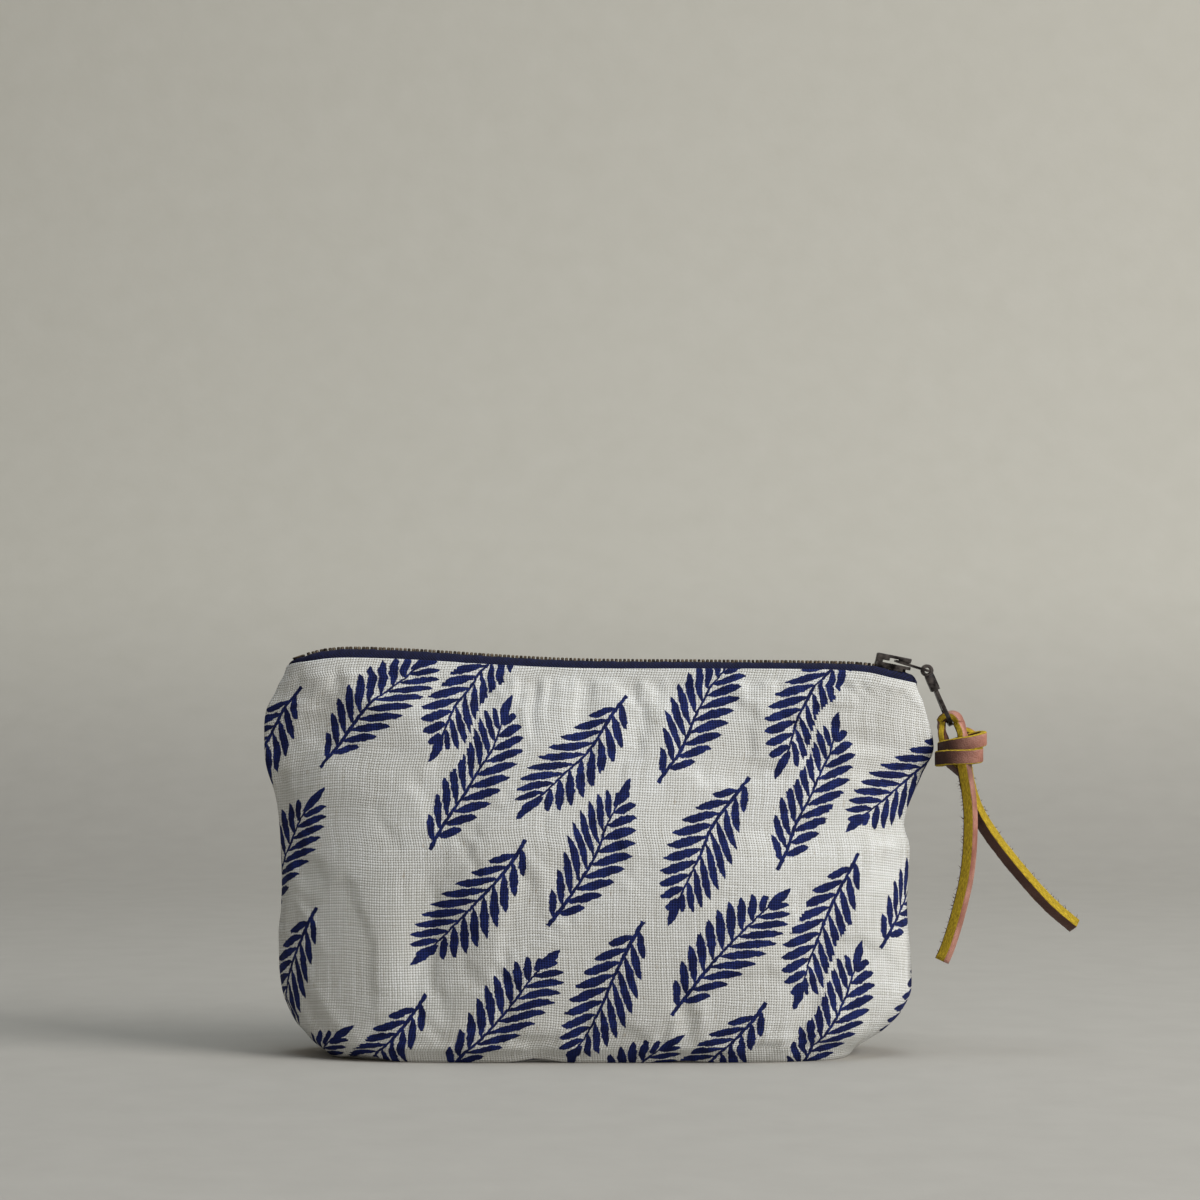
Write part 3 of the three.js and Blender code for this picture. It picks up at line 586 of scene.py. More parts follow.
# %% The bag's profiles, in millimetres by height or by length
pouch_height = 101.3
left_edge = curve_through([
    (0, -70.4), (4.4, -75.6), (9.5, -80), (17.5, -83.3), (31, -84.3), (45, -84.2), (58, -85), (67, -86.3),
    (76, -88.9), (84, -89.2), (90, -88.3), (95, -85.5), (102, -82.4), (107, -82)])
right_edge = curve_through([
    (0, 65), (3.4, 68.8), (7, 74.5), (11.2, 78.8), (17.5, 81.7), (40, 81.2), (54, 81.9), (61, 80.8),
    (73, 85.5), (80, 88.6), (91, 85.5), (97, 83.3), (107, 82.8)])
half_depth = curve_through([
    (0, 19.5), (4, 22), (12, 23.6), (29, 24.2), (48, 23), (63, 20.3), (77, 16), (87, 12.6), (95, 9.4),
    (101.3, 7.2)])
# How square a section is: 2 gives an ellipse, and a higher number a boxier one
square_along = curve_through([(0, 5), (6, 4), (20, 3), (44, 2.6), (67, 2.3), (83, 2.8), (93, 6), (101.3, 14)])
square_across = curve_through([
    (0, 3), (6, 2.4), (20, 2), (44, 1.7), (63, 1.4), (82, 1.25), (95, 1.6), (101.3, 2)])
# The zip's top by length along the bag, and how far below it the linen's edge lies
ridge = curve_through([
    (-83, 102.4), (-80.7, 103.6), (-76, 105.1), (-71.5, 106.1), (-65, 106.5), (-50, 106), (-10, 103.6),
    (30, 103.1), (58, 102.8), (70, 102.3), (76.7, 100.96), (84, 99.5)])
edge_drop = curve_through([(-84, 1.2), (-73, 2.9), (-50, 3.1), (0, 2.8), (58, 2.5), (74, 2.9), (84, 3)])
# Broad hollows: at x, z, half width, half height, depth
front_dents = [(-42, 34, 9, 23, 2.2), (-74, 89, 8, 7, 1.6), (30, 62, 26, 12, 1.4), (-66, 73, 12, 8, -1.2),
               (58, 29, 10, 18, 1.2)]
back_dents = [(24, 43, 14, 22, 1.8), (-52, 60, 16, 14, 1.5)]
print("at mid height", np.round([right_edge(50) - left_edge(50), 2 * half_depth(50)], 1), "mm")


# %% A ring of points round the bag
def mouth_height(x):
    """The height of the linen's top edge."""
    return ridge(x) - edge_drop(x)


def real_height(level, x):
    """A level of the bag, bent so that its top follows the mouth."""
    return level + (mouth_height(x) - pouch_height) * (level / pouch_height) ** 3


def dent_share(x, z, front):
    """The share of its depth that the bag keeps beside its broad dents."""
    depth = np.zeros_like(x)
    for at_x, at_z, wide, high, deep in front_dents if front else back_dents:
        depth += deep * np.exp(-((x - at_x) / wide) ** 2 - ((z - at_z) / high) ** 2)
    return 1 - depth / half_depth(np.minimum(z, pouch_height))


def unit_outline(level, shares):
    """A quarter of the section as even steps of cloth, as shares of its half length and half depth."""
    flat_long = (right_edge(level) - left_edge(level)) / 2
    angle = np.linspace(0, math.pi / 2, 600)
    x = np.cos(angle) ** (2 / square_along(level))
    y = np.sin(angle) ** (2 / square_across(level))
    run = np.concatenate([[0], np.cumsum(np.hypot(np.diff(x) * flat_long, np.diff(y) * half_depth(level)))])
    wanted = shares * run[-1]
    return np.interp(wanted, run, x), np.interp(wanted, run, y)


def bag_ring(level, inset, columns):
    """Points round the bag at a level, from the right side seam by the front to the left one and back."""
    quarter = columns // 4
    across, out = unit_outline(level, np.arange(quarter + 1) / quarter)
    to_left = np.concatenate([across, -across[-2::-1]])
    depth = np.concatenate([out, out[-2::-1]])
    half = []
    for front in (True, False):
        long = (right_edge(level) - left_edge(level)) / 2 - inset
        x = (right_edge(level) + left_edge(level)) / 2 + long * to_left
        for _ in range(2):
            z = real_height(level, x)
            long = (right_edge(z) - left_edge(z)) / 2 - inset
            x = (right_edge(z) + left_edge(z)) / 2 + long * to_left
        z = real_height(level, x)
        y = (half_depth(level) - inset) * depth * dent_share(x, z, front)
        points = np.stack([x, -y if front else y, z + inset * (1 - level / pouch_height)], 1)
        half.append(points if front else points[::-1])
    return np.concatenate([half[0][:-1], half[1][:-1]])


ring = bag_ring(50, 0, 40)
print("ring at mid height", np.round(ring.min(0), 1), np.round(ring.max(0), 1))

# %% [markdown]
# ## Folds in the cloth
#
# Linen that has been filled and handled never hangs like rubber. Broad hollows, pulls that run from the boxed
# corners, and short puckers under the tape can be sculpted, but here each fold is a soft groove between two
# points of the front or the back. A short cloth simulation then works loose cloth between them.

# %% Grooves along lines
front_folds = [  # from x, z to x, z, half width, depth
    (-79, 22, -70, 1.5, 1.6, 0.9), (-75, 20, -64, 3, 2.2, -0.5), (-60, 5, -52, 16, 2.6, 0.5),
    (-84, 70, -72, 84, 3.5, 0.8), (-86, 79, -66, 92, 2.6, 0.7), (-80, 62, -70, 74, 3.2, -0.5),
    (-49, 12, -42, 40, 5.0, 0.7), (-30, 3, -22, 18, 3.5, 0.5), (-8, 2, -2, 14, 3.0, 0.45),
    (24, 2, 20, 20, 3.4, 0.5), (50, 3, 56, 22, 3.6, 0.6), (66, 3, 74, 20, 2.4, 0.8),
    (84, 78, 62, 84, 2.4, 0.6), (82, 70, 66, 64, 3.2, 0.5), (80, 52, 68, 46, 3.6, 0.45),
    (-30, 97, -36, 78, 5.0, 0.35), (12, 98, 8, 80, 5.5, 0.35), (46, 97, 52, 80, 4.5, 0.35)]
back_folds = [
    (-76, 20, -66, 3, 2.2, 0.8), (-82, 70, -60, 84, 3.2, 0.7), (-30, 4, -26, 26, 4.0, 0.6),
    (14, 3, 20, 30, 4.4, 0.6), (60, 4, 70, 24, 3.0, 0.8), (84, 76, 60, 86, 3.0, 0.6),
    (-50, 96, -44, 74, 5.0, 0.4), (34, 97, 30, 76, 5.0, 0.4)]
puckers = [(x, float(reach), float(wide), float(deep)) for x, reach, wide, deep in zip(
    np.sort(chance.uniform(-80, 80, 40)), chance.uniform(5, 11, 40), chance.uniform(0.9, 1.7, 40),
    chance.uniform(0.06, 0.2, 40))]
print("folds", len(front_folds) + len(back_folds), "and puckers", len(puckers))


# %% How deep the cloth is pressed in
def fold_depth(x, z, folds):
    """How far the folds press the cloth in."""
    depth = np.zeros_like(x)
    for ax, az, bx, bz, wide, deep in folds:
        dx, dz = bx - ax, bz - az
        t = np.clip(((x - ax) * dx + (z - az) * dz) / (dx * dx + dz * dz), 0, 1)
        away = np.hypot(x - ax - t * dx, z - az - t * dz)
        depth += deep * np.exp(-(away / wide) ** 2) * np.sin(math.pi * (0.12 + 0.76 * t))
    for at, reach, wide, deep in puckers:
        down = np.clip((mouth_height(x) - z) / reach, 0, 1)
        depth += deep * np.exp(-((x - at) / wide) ** 2) * down * (1 - down) * 4
    return depth


def waves(x, z, seed):
    """Slow unevenness of the cloth from a few crossed sines."""
    turn = np.random.default_rng(seed)
    total = np.zeros_like(x)
    for _ in range(9):
        kx, kz, phase = turn.uniform(-0.16, 0.16), turn.uniform(-0.14, 0.14), turn.uniform(0, 6.28)
        total += np.sin(kx * x + kz * z + phase)
    return total / 9


# %% The cloth laid out, ring by ring
columns, wall_rows, base_rings = 488, 134, 16
half_columns = columns // 2
base_arches = [(-61, 6, 1.5), (-16, 5, 1.1), (22, 5, 0.5)]  # at x, half width, height off the floor
wave_depth, seam_depth, seam_columns = 0.2, 0.75, 1.3
foot_height = 9  # below which the folds fade and the arches lie


def shape_cloth(count, levels):
    """The rings of the outer cloth with their folds, as an array of rows, columns and x, y, z."""
    rings = np.array([bag_ring(level, 0, count) for level in levels])
    half = count // 2
    x, y, z = rings[..., 0], rings[..., 1], rings[..., 2]
    press = np.zeros_like(x)
    for panel, folds, seed in ((slice(0, half), front_folds, 3), (slice(half, count), back_folds, 4)):
        at_x, at_z = x[:, panel], z[:, panel]
        press[:, panel] = fold_depth(at_x, at_z, folds) + wave_depth * waves(at_x, at_z, seed)
    levels = np.array(levels)
    share = np.clip(levels / foot_height, 0, 1) * np.clip((pouch_height - levels) / 5, 0, 1)
    lie = np.clip(np.abs(y) / 9, 0, 1)
    rings[..., 1] -= np.sign(y) * press * share[:, None] * lie
    seam = np.minimum.reduce([np.abs(np.arange(count) - at) for at in (0, half, count)]) * columns / count
    groove = np.exp(-(seam / seam_columns) ** 2)[None, :] * np.clip(levels[:, None] / 3, 0, 1)
    rings[..., 0] -= np.sign(x) * groove * seam_depth
    near_floor = np.clip(1 - levels / foot_height, 0, 1)[:, None] ** 2
    for at, wide, high in base_arches:
        rings[..., 2] += high * np.exp(-((x - at) / wide) ** 2) * near_floor * (y < 0) * lie
    return rings


levels = pouch_height * (np.arange(wall_rows + 1) / wall_rows)
levels -= 1.6 * np.sin(2 * math.pi * levels / pouch_height)
cloth = shape_cloth(columns, levels)
print("cloth rows", cloth.shape)

# %% [markdown]
# ## Loose cloth by simulation
#
# The simulation runs on a coarse copy whose foot and mouth are pinned. The cloth is let out by a few per
# cent, so that it has to go into small waves. The broad swelling is taken out again, because the bag's form
# is already right, and how far a point may move is capped. The rest is spread over the fine cloth.

# %% Simulate a coarse copy
coarse_columns, coarse_rows = 176, 50
last_frame, largest_move = 18, 0.35


def loosen():
    """How far each point of a coarse cloth moves when the cloth is let out, in millimetres."""
    coarse_levels = pouch_height * np.arange(coarse_rows + 1) / coarse_rows
    rest = shape_cloth(coarse_columns, coarse_levels)
    faces = [
        (r * coarse_columns + c, r * coarse_columns + (c + 1) % coarse_columns,
         (r + 1) * coarse_columns + (c + 1) % coarse_columns, (r + 1) * coarse_columns + c)
        for r in range(coarse_rows) for c in range(coarse_columns)]
    piece = add_mesh("loose_cloth", rest.reshape(-1, 3), faces)
    pins = piece.vertex_groups.new(name="pins")
    for row in (0, 1, coarse_rows - 1, coarse_rows):
        pins.add(list(range(row * coarse_columns, (row + 1) * coarse_columns)), 1, "REPLACE")
    for column in (0, coarse_columns // 2):
        pins.add([row * coarse_columns + column for row in range(coarse_rows + 1)], 1, "REPLACE")
    modifier = piece.modifiers.new("Cloth", "CLOTH")
    settings = modifier.settings
    settings.vertex_group_mass = "pins"
    settings.quality, settings.mass = 5, 0.02
    settings.tension_stiffness = settings.compression_stiffness = 12
    settings.shear_stiffness, settings.bending_stiffness = 4, 0.02
    settings.shrink_min = -0.035
    settings.use_pressure, settings.uniform_pressure_force = True, 0.25
    settings.effector_weights.gravity = 0
    modifier.point_cache.frame_end = last_frame
    scene = bpy.context.scene
    for step in range(1, last_frame + 1):
        scene.frame_set(step)
    settled = piece.evaluated_get(bpy.context.evaluated_depsgraph_get()).to_mesh()
    moved = np.zeros(len(settled.vertices) * 3, np.float32)
    settled.vertices.foreach_get("co", moved)
    scene.frame_set(1)
    bpy.data.objects.remove(piece)
    move = moved.reshape(rest.shape) / mm - rest
    broad = move.copy()
    for _ in range(60):
        broad[1:-1] = (broad[:-2] + 2 * broad[1:-1] + broad[2:]) / 4
        broad = (np.roll(broad, 1, 1) + 2 * broad + np.roll(broad, -1, 1)) / 4
    move -= broad
    size = np.linalg.norm(move, axis=-1, keepdims=True)
    print("loosened by up to", round(float(size.max()), 2), "mm beside the broad swelling")
    return move * np.minimum(1, largest_move / np.maximum(size, 1e-9)), coarse_levels


coarse_move, coarse_levels = loosen()
row_at = np.interp(levels, coarse_levels, np.arange(coarse_rows + 1))
column_at = np.arange(columns) * coarse_columns / columns
r0, c0 = np.minimum(row_at.astype(int), coarse_rows - 1), column_at.astype(int)
rt, ct = (row_at - r0)[:, None, None], (column_at - c0)[None, :, None]
c1 = (c0 + 1) % coarse_columns
move = ((1 - rt) * ((1 - ct) * coarse_move[r0][:, c0] + ct * coarse_move[r0][:, c1])
        + rt * ((1 - ct) * coarse_move[r0 + 1][:, c0] + ct * coarse_move[r0 + 1][:, c1]))
cloth += move
print("largest move", round(float(np.linalg.norm(move, axis=-1).max()), 2), "mm")

# %% [markdown]
# ## Sewing the cloth together
#
# The rings become faces, the mouth gets a turned edge that runs back down inside, and the foot is closed by
# rings that shrink to its middle. Two maps go on it: `cloth` counts millimetres along the threads of each
# panel, so that the weave keeps its size, and `sprig` is where the print is laid out.

# %% Turned edge and base
edge_radius, edge_reach = 0.4, 6.0
base_lift = 0.35  # of the middle of the base off the floor
inward = bag_ring(pouch_height, edge_radius * 2, columns) - bag_ring(pouch_height, 0, columns)
inward[:, 2] = 0
inward /= np.maximum(np.linalg.norm(inward, axis=1), 1e-9)[:, None]
top = cloth[-1]
turned = []
for angle in np.radians(range(30, 181, 30)):
    turned.append(top + inward * edge_radius * (1 - math.cos(angle))
                  + np.array([0, 0, 1]) * edge_radius * math.sin(angle))
for down in (2, 4, edge_reach):
    row = turned[5].copy()  # the last of the turn
    row[:, 2] -= down
    row[:, :2] += inward[:, :2] * 0.12 * down / edge_reach
    turned.append(row)

foot = cloth[0]
foot_middle = foot.mean(0)
base = []
for i in range(1, base_rings):
    share = i / base_rings
    row = foot_middle + (foot - foot_middle) * share
    row[:, 2] = base_lift * (1 - share ** 4) * (1 + 0.8 * waves(row[:, 0] * 1.4, row[:, 1] * 1.4, 6))
    base.append(row)
rows = np.array(base + list(cloth) + turned)
row_count = len(rows)
print("rows", row_count, "points", rows[..., 0].size)

# %% Faces between the rings
vertices = np.vstack([[foot_middle + (0, 0, 0.4)], rows.reshape(-1, 3)])
r, c = np.meshgrid(np.arange(row_count - 1), np.arange(columns), indexing="ij")
r, c = r.ravel(), c.ravel()
n = (c + 1) % columns
quads = np.stack([1 + r * columns + c, 1 + (r + 1) * columns + c, 1 + (r + 1) * columns + n,
                  1 + r * columns + n], 1)
around = np.arange(columns)
fan = np.stack([np.zeros(columns, int), 1 + around, 1 + (around + 1) % columns], 1)
linen = add_mesh("linen", vertices, quads.tolist() + fan.tolist())
linen_mesh = linen.data
linen_mesh.polygons.foreach_set("use_smooth", [True] * len(linen_mesh.polygons))
print("linen triangles", sum(len(p.vertices) - 2 for p in linen_mesh.polygons))

# %% Threads counted in millimetres
wall_from = base_rings - 1
steps_round = np.linalg.norm(np.roll(rows, -1, 1) - rows, axis=2)
up = np.concatenate([np.zeros((1, columns)), np.linalg.norm(np.diff(rows, axis=0), axis=2)]).cumsum(0)
up -= up[wall_from]
middle_up = up.mean(1)
back_offset, base_offset = 300, 60  # keep the back's and the base's threads apart from the front's


def panel_map(start):
    """Millimetres from the middle of a panel and up from the base, for its columns from seam to seam."""
    picked = [(start + k) % columns for k in range(half_columns + 1)]
    run = np.concatenate([np.zeros((row_count, 1)), steps_round[:, picked[:-1]].cumsum(1)], 1)
    run = run[:, [half_columns // 2]] - run
    height = 0.65 * up[:, picked] + 0.35 * middle_up[:, None]
    return run, height


front_run, front_up = panel_map(0)
back_run, back_up = panel_map(half_columns)
corner_r = np.stack([r, r + 1, r + 1, r], 1)
step_c = np.stack([c, c, c + 1, c + 1], 1)
is_front = (c < half_columns)[:, None]
local_c = np.where(is_front, step_c, step_c - half_columns)
thread_u = np.where(is_front, front_run[corner_r, np.minimum(local_c, half_columns)],
                    back_offset + back_run[corner_r, np.clip(local_c, 0, half_columns)])
thread_v = np.where(is_front, front_up[corner_r, np.minimum(local_c, half_columns)],
                    back_up[corner_r, np.clip(local_c, 0, half_columns)])
under = corner_r < wall_from
spot = rows[corner_r, step_c % columns]
thread_u = np.where(under, spot[..., 0], thread_u)
thread_v = np.where(under, spot[..., 1] - base_offset, thread_v)
fan_uv = np.array([[(vertices[k][0], vertices[k][1] - base_offset) for k in tri] for tri in fan])
cloth_uv = np.concatenate([np.stack([thread_u, thread_v], -1).reshape(-1, 2), fan_uv.reshape(-1, 2)])
linen_mesh.uv_layers.new(name="cloth").data.foreach_set("uv", cloth_uv.astype(np.float32).ravel())
flat_width = float(steps_round[wall_from + 45].sum() / 2 + 4)
flat_length = float(2 * (middle_up[wall_from + wall_rows] + edge_reach) + 2 * half_depth(0))
print("cut cloth", round(flat_width), "x", round(flat_length), "mm; threads over",
      np.round(cloth_uv.min(0)), np.round(cloth_uv.max(0)))

# %% [markdown]
# ## The print
#
# Leafy sprigs are block printed in navy. A picture of them isn't needed: each sprig is a curved stem with
# slim leaves in pairs, which is arithmetic on two numbers, the way along the stem and the way across it.
# Those two numbers are written on the cloth for the nearest sprig, and the finish draws the leaves from
# them, so that their edges stay sharp however near the camera comes.

# %% Where the sprigs lie, as u, v of the foot, turn in degrees, length, bend
row_turn, row_step, sprig_step = 56.0, 18.6, 47.0
panel_middle = (0, 52)
print_half, print_foot, print_top, least_inside = 92, -20, 101, 0.4  # the panel, and how much of a stem on it


def heading_of(degrees):
    """The direction at an angle, on the flat cloth."""
    return np.array([math.cos(math.radians(degrees)), math.sin(math.radians(degrees))])


def sprig_rows(middle_u, skipped, seed):
    """Sprigs in slanting half-drop rows over one panel, every other row growing the other way."""
    turn = np.random.default_rng(seed)
    along = heading_of(row_turn)
    beside = np.array([along[1], -along[0]])
    laid = []
    for row in range(-7, 8):
        for place in range(-3, 4):
            middle = beside * row * row_step + along * (place + (row % 2) / 2) * sprig_step + panel_middle
            if abs(middle[0]) > 96 or not -24 < middle[1] < 128 or (row, place) in skipped:
                continue
            length = turn.uniform(38, 41)
            angle = row_turn + turn.uniform(-4, 4) + (180 if row % 2 else 0)
            way = heading_of(angle)
            foot = middle - way * length / 2
            stem = foot + way * np.linspace(0, length, 20)[:, None]
            inside = (np.abs(stem[:, 0]) < print_half) & (stem[:, 1] > print_foot) & (stem[:, 1] < print_top)
            if inside.mean() < least_inside:
                continue
            bend = turn.uniform(0.0015, 0.004) * turn.choice([-1, 1])
            laid.append((middle_u + foot[0], foot[1], angle, length, bend))
    return laid


sprigs = np.array(sprig_rows(0, {(-3, -1), (-2, -1)}, 5) + sprig_rows(back_offset, set(), 8))
print("sprigs", len(sprigs))

# %% The nearest sprig, written on the cloth
u, v = cloth_uv[:, 0][:, None], cloth_uv[:, 1][:, None]
turn = np.radians(sprigs[:, 2])[None, :]
du, dv = u - sprigs[None, :, 0], v - sprigs[None, :, 1]
along = du * np.cos(turn) + dv * np.sin(turn)
beside = -du * np.sin(turn) + dv * np.cos(turn) - sprigs[None, :, 4] * along * np.maximum(along, 0)
outside = np.hypot(np.maximum(np.maximum(-along, along - sprigs[None, :, 3]), 0), beside)
nearest = outside.argmin(1)
pick = np.arange(len(nearest))
linen_mesh.uv_layers.new(name="sprig").data.foreach_set(
    "uv", np.stack([along[pick, nearest], beside[pick, nearest]], 1).astype(np.float32).ravel())

# A triangle between two sprigs would blend their numbers, so the print stops before it
face_sizes = np.array([4] * len(quads) + [3] * len(fan))
face_of = np.repeat(np.arange(len(face_sizes)), face_sizes)
lowest = np.full(len(face_sizes), 10 ** 6)
highest = np.full(len(face_sizes), -1)
np.minimum.at(lowest, face_of, nearest)
np.maximum.at(highest, face_of, nearest)
write_numbers(linen_mesh, "inked", (lowest == highest)[face_of], "CORNER")
write_numbers(linen_mesh, "sprig_length", sprigs[nearest, 3], "CORNER")
print("faces between sprigs", int((lowest != highest).sum()))


# %% [markdown]
# ## Linen's finish
#
# Plain weave is two sets of threads that pass over and under one another by turns. The sine of each
# coordinate gives a thread's rounded back, and the sign of the other tells which of the two lies on top. Flax
# is spun unevenly, so the threads are displaced, thickened and tinted by noise stretched along them.

# %% Threads over and under one another
def weave(made, u, v):
    """The threads' height and unevenness, and the bare cloth's colour with a painted shade in the gaps
    between threads.
    """
    pitch = 0.69  # from one thread to the next
    wander_u = made.noise(made.together(u * 0.5, v * 0.035), 1.0, 2.0) - 0.5
    wander_v = made.noise(made.together(u * 0.035, v * 0.5, 7.0), 1.0, 2.0) - 0.5
    warp_at = (u + wander_u * 0.45) * (math.pi / pitch)
    weft_at = (v + wander_v * 0.45) * (math.pi / pitch)
    warp_wave, weft_wave = warp_at.sine(), weft_at.sine()
    warp = abs(warp_wave) * 0.55 + 0.4 * weft_wave * warp_wave.sign()
    weft = abs(weft_wave) * 0.55 - 0.4 * warp_wave * weft_wave.sign()
    warp_on_top = warp > weft
    height = warp.highest(weft)
    slub_warp = made.noise(made.together(u * (1 / pitch), v * 0.06, 3.0), 1.0, 3.0, 0.6)
    slub_weft = made.noise(made.together(u * 0.06, v * (1 / pitch), 5.0), 1.0, 3.0, 0.6)
    slub = slub_warp * warp_on_top + (slub_weft * 0.7 + 0.15) * (1 - warp_on_top)
    cloud = made.noise(made.together(u, v), 0.05, 3.0)
    thread = made.mix(slub.between(0.22, 0.78), srgb(189, 189, 183), srgb(228, 230, 231))
    thread = made.mix(cloud.between(0.3, 0.7) * 0.3, thread, srgb(203, 202, 196))
    fleck = made.noise(made.together(u * 1.3, v * 0.25, 11.0), 1.0, 2.0).between(0.68, 0.74)
    thread = made.mix(fleck * 0.45, thread, srgb(150, 130, 100))
    # Painted shade: where no thread covers the cloth, the gaps get a dark warm brown
    cover = (height + (slub - 0.5) * 0.4).between(0.06, 0.5)
    return height, slub, made.mix(cover, srgb(88, 76, 56), thread)


# %% Leaves, stem and tip from two numbers
def sprig_shape(made, u, v):
    """1 where a sprig is printed and 0 beside it."""
    along, across = made.cloth_map("sprig")
    shake = made.noise(made.together(u * 0.9, v * 0.9, 20.0), 1.0, 2.0) - 0.5
    along = along + shake * 0.9
    across = across + (made.noise(made.together(u, v, 31.0), 0.8, 2.0) - 0.5) * 0.8
    spacing, lean, longest_leaf, leaf_half_width = 3.7, 1.15, 8.6, 1.08
    side = across.sign()
    out = abs(across)
    length = made.attribute("sprig_length")
    foot = along - out * lean + out * out * 0.022 + side * (spacing / 4)
    which = (foot * (1 / spacing)).whole()
    off_leaf = abs(foot - which * spacing) * 0.66
    share = which * spacing / length
    leaf_length = (share * math.pi * 0.98 + 0.12).sine().highest(0.0) ** 0.6 * longest_leaf
    t = (out / leaf_length.highest(0.01)).lowest(1.0)
    leaf_half = (t * math.pi).sine().highest(0.0) ** 0.75 * leaf_half_width
    in_row = (share > 0.02) * (share < 0.97)
    leaf = (leaf_half - off_leaf).between(-0.05, 0.07) * (out < leaf_length) * in_row
    stem_half = 0.55 - 0.3 * (along / length)
    stem = (stem_half - out).between(-0.06, 0.06) * (along > 0.0) * (along < length)
    tip_t = ((along - length + 3.0) * (1 / 8.0)).highest(0.0).lowest(1.0)
    tip = ((tip_t * math.pi).sine().highest(0.0) ** 0.8 * 1.3 - out).between(-0.05, 0.07)
    return leaf.highest(stem).highest(tip) * (made.attribute("inked") > 0.99)


# %% Ink on the weave
def linen_finish():
    made = Finish("printed_linen", roughness=0.92, specular=0.18)
    u, v = made.cloth_map("cloth")
    height, slub, bare = weave(made, u, v)
    shown = sprig_shape(made, u, v)
    rub = made.noise(made.together(u, v, 40.0), 0.35, 3.0)
    dry = (height * 0.8 + rub * 0.7).between(0.18, 0.42)
    navy = made.mix(rub.between(0.35, 0.7), srgb(12, 22, 70), srgb(24, 38, 98))
    # Painted shade: down between the threads the ink is darkened to near black
    navy = made.mix(height.between(0.15, 0.6), srgb(6, 10, 36), navy)
    made.surface(
        Base_Color=made.mix(shown * (0.72 + 0.28 * dry), bare, navy),
        Roughness=0.9 - 0.12 * shown,
        Normal=made.bump(height + slub * 0.3, 0.00018, 1.0))
    return made.material


linen_mesh.materials.append(linen_finish())
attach(linen, "pouch")
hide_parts("outer_shell")
print(linen_mesh.materials[0].name, "has", len(linen_mesh.materials[0].node_tree.nodes), "nodes")

# %% [markdown]
# ## Zip tape
#
# Each tape is a band of navy twill with its inner edge beside the teeth. It humps up over the seam, then
# goes down between linen and lining. It is laid as cross lines at many stations, like the linen, and both
# its ends turn down into the corners of the mouth.

# %% Cross lines, joined into a band
zip_end = 79.7
tape_edge, tape_flat = 2.35, 4.4  # from the zip's middle to the tape's edge and to where it turns down
tape_inset = 1.15  # of its line down the wall, from the outside of the linen


def wall_depth(x, level, inset, front):
    """How far the bag's wall stands from its middle at x."""
    z = real_height(level, x)
    long = (right_edge(z) - left_edge(z)) / 2 - inset
    middle = (right_edge(z) + left_edge(z)) / 2
    share = np.minimum(np.abs(x - middle) / long, 1)
    square = (1 - share ** square_along(level)) ** (1 / square_across(level))
    return (half_depth(level) - inset) * square * dent_share(np.atleast_1d(x), np.atleast_1d(z), front)[0]


def apply_modifier(piece, kind, **settings):
    """Adds one modifier and applies it."""
    select(piece)
    modifier = piece.modifiers.new(kind, kind)
    for key, value in settings.items():
        setattr(modifier, key, value)
    bpy.ops.object.modifier_apply(modifier=modifier.name)


def tape(name, front):
    """A woven tape from its edge at the teeth over its hump and down inside the mouth."""
    stations = np.concatenate([
        np.linspace(-zip_end - 2.6, -zip_end + 4, 22), np.linspace(-zip_end + 4.6, zip_end - 1.5, 250),
        np.linspace(zip_end - 1.2, zip_end + 3.4, 16)])
    sign = -1 if front else 1
    lines = []
    for x in stations:
        level, rim = float(ridge(x)) - 1.0, float(mouth_height(x))
        edge = max(float(wall_depth(x, pouch_height, tape_inset, front)), 0.8)
        start, flat = min(tape_edge, 0.5 * edge), min(tape_flat, edge - 0.35)
        drop = 1.3 * max(0, (-zip_end - x) / 2.6) ** 2 + 1.7 * max(0, (x - zip_end - 1.8) / 1.6) ** 2
        ripple = 0.1 * math.sin(x * 0.9 + sign) + 0.08 * math.sin(x * 2.3)
        line = [
            (start, level - 0.2), (start + 0.06 * (flat - start), level + 0.05),
            (start + 0.35 * (flat - start), level + 0.06 + ripple),
            (start + 0.72 * (flat - start), level + 0.04 + ripple), (flat - 0.1, level - 0.08 + ripple),
            ((flat + edge) / 2, (level + rim) / 2 + 0.25 + ripple * 0.5), (edge - 0.15, rim + 0.25),
            (edge, rim - 0.5), (edge + 0.05, rim - 2), (edge + 0.1, rim - 4)]
        lines.append([(x, sign * y, z - drop) for y, z in line])
    points = np.array(lines)
    across = points.shape[1]
    faces = [(i * across + k, (i + 1) * across + k, (i + 1) * across + k + 1, i * across + k + 1)
             for i in range(len(points) - 1) for k in range(across - 1)]
    piece = add_mesh(name, points.reshape(-1, 3), [f if front else f[::-1] for f in faces])
    mesh = piece.data
    steps = np.linalg.norm(np.diff(points, axis=1), axis=2)
    run = np.concatenate([np.zeros((len(points), 1)), steps.cumsum(1)], 1)
    uv = mesh.uv_layers.new(name="cloth")
    for polygon in mesh.polygons:
        for loop in polygon.loop_indices:
            i, k = divmod(mesh.loops[loop].vertex_index, across)
            uv.data[loop].uv = (points[i, k, 0], run[i, k])
    apply_modifier(piece, "SUBSURF", levels=1, render_levels=1)
    apply_modifier(piece, "SOLIDIFY", thickness=0.4 * mm, offset=-1.0)
    bpy.ops.object.shade_smooth()
    return piece


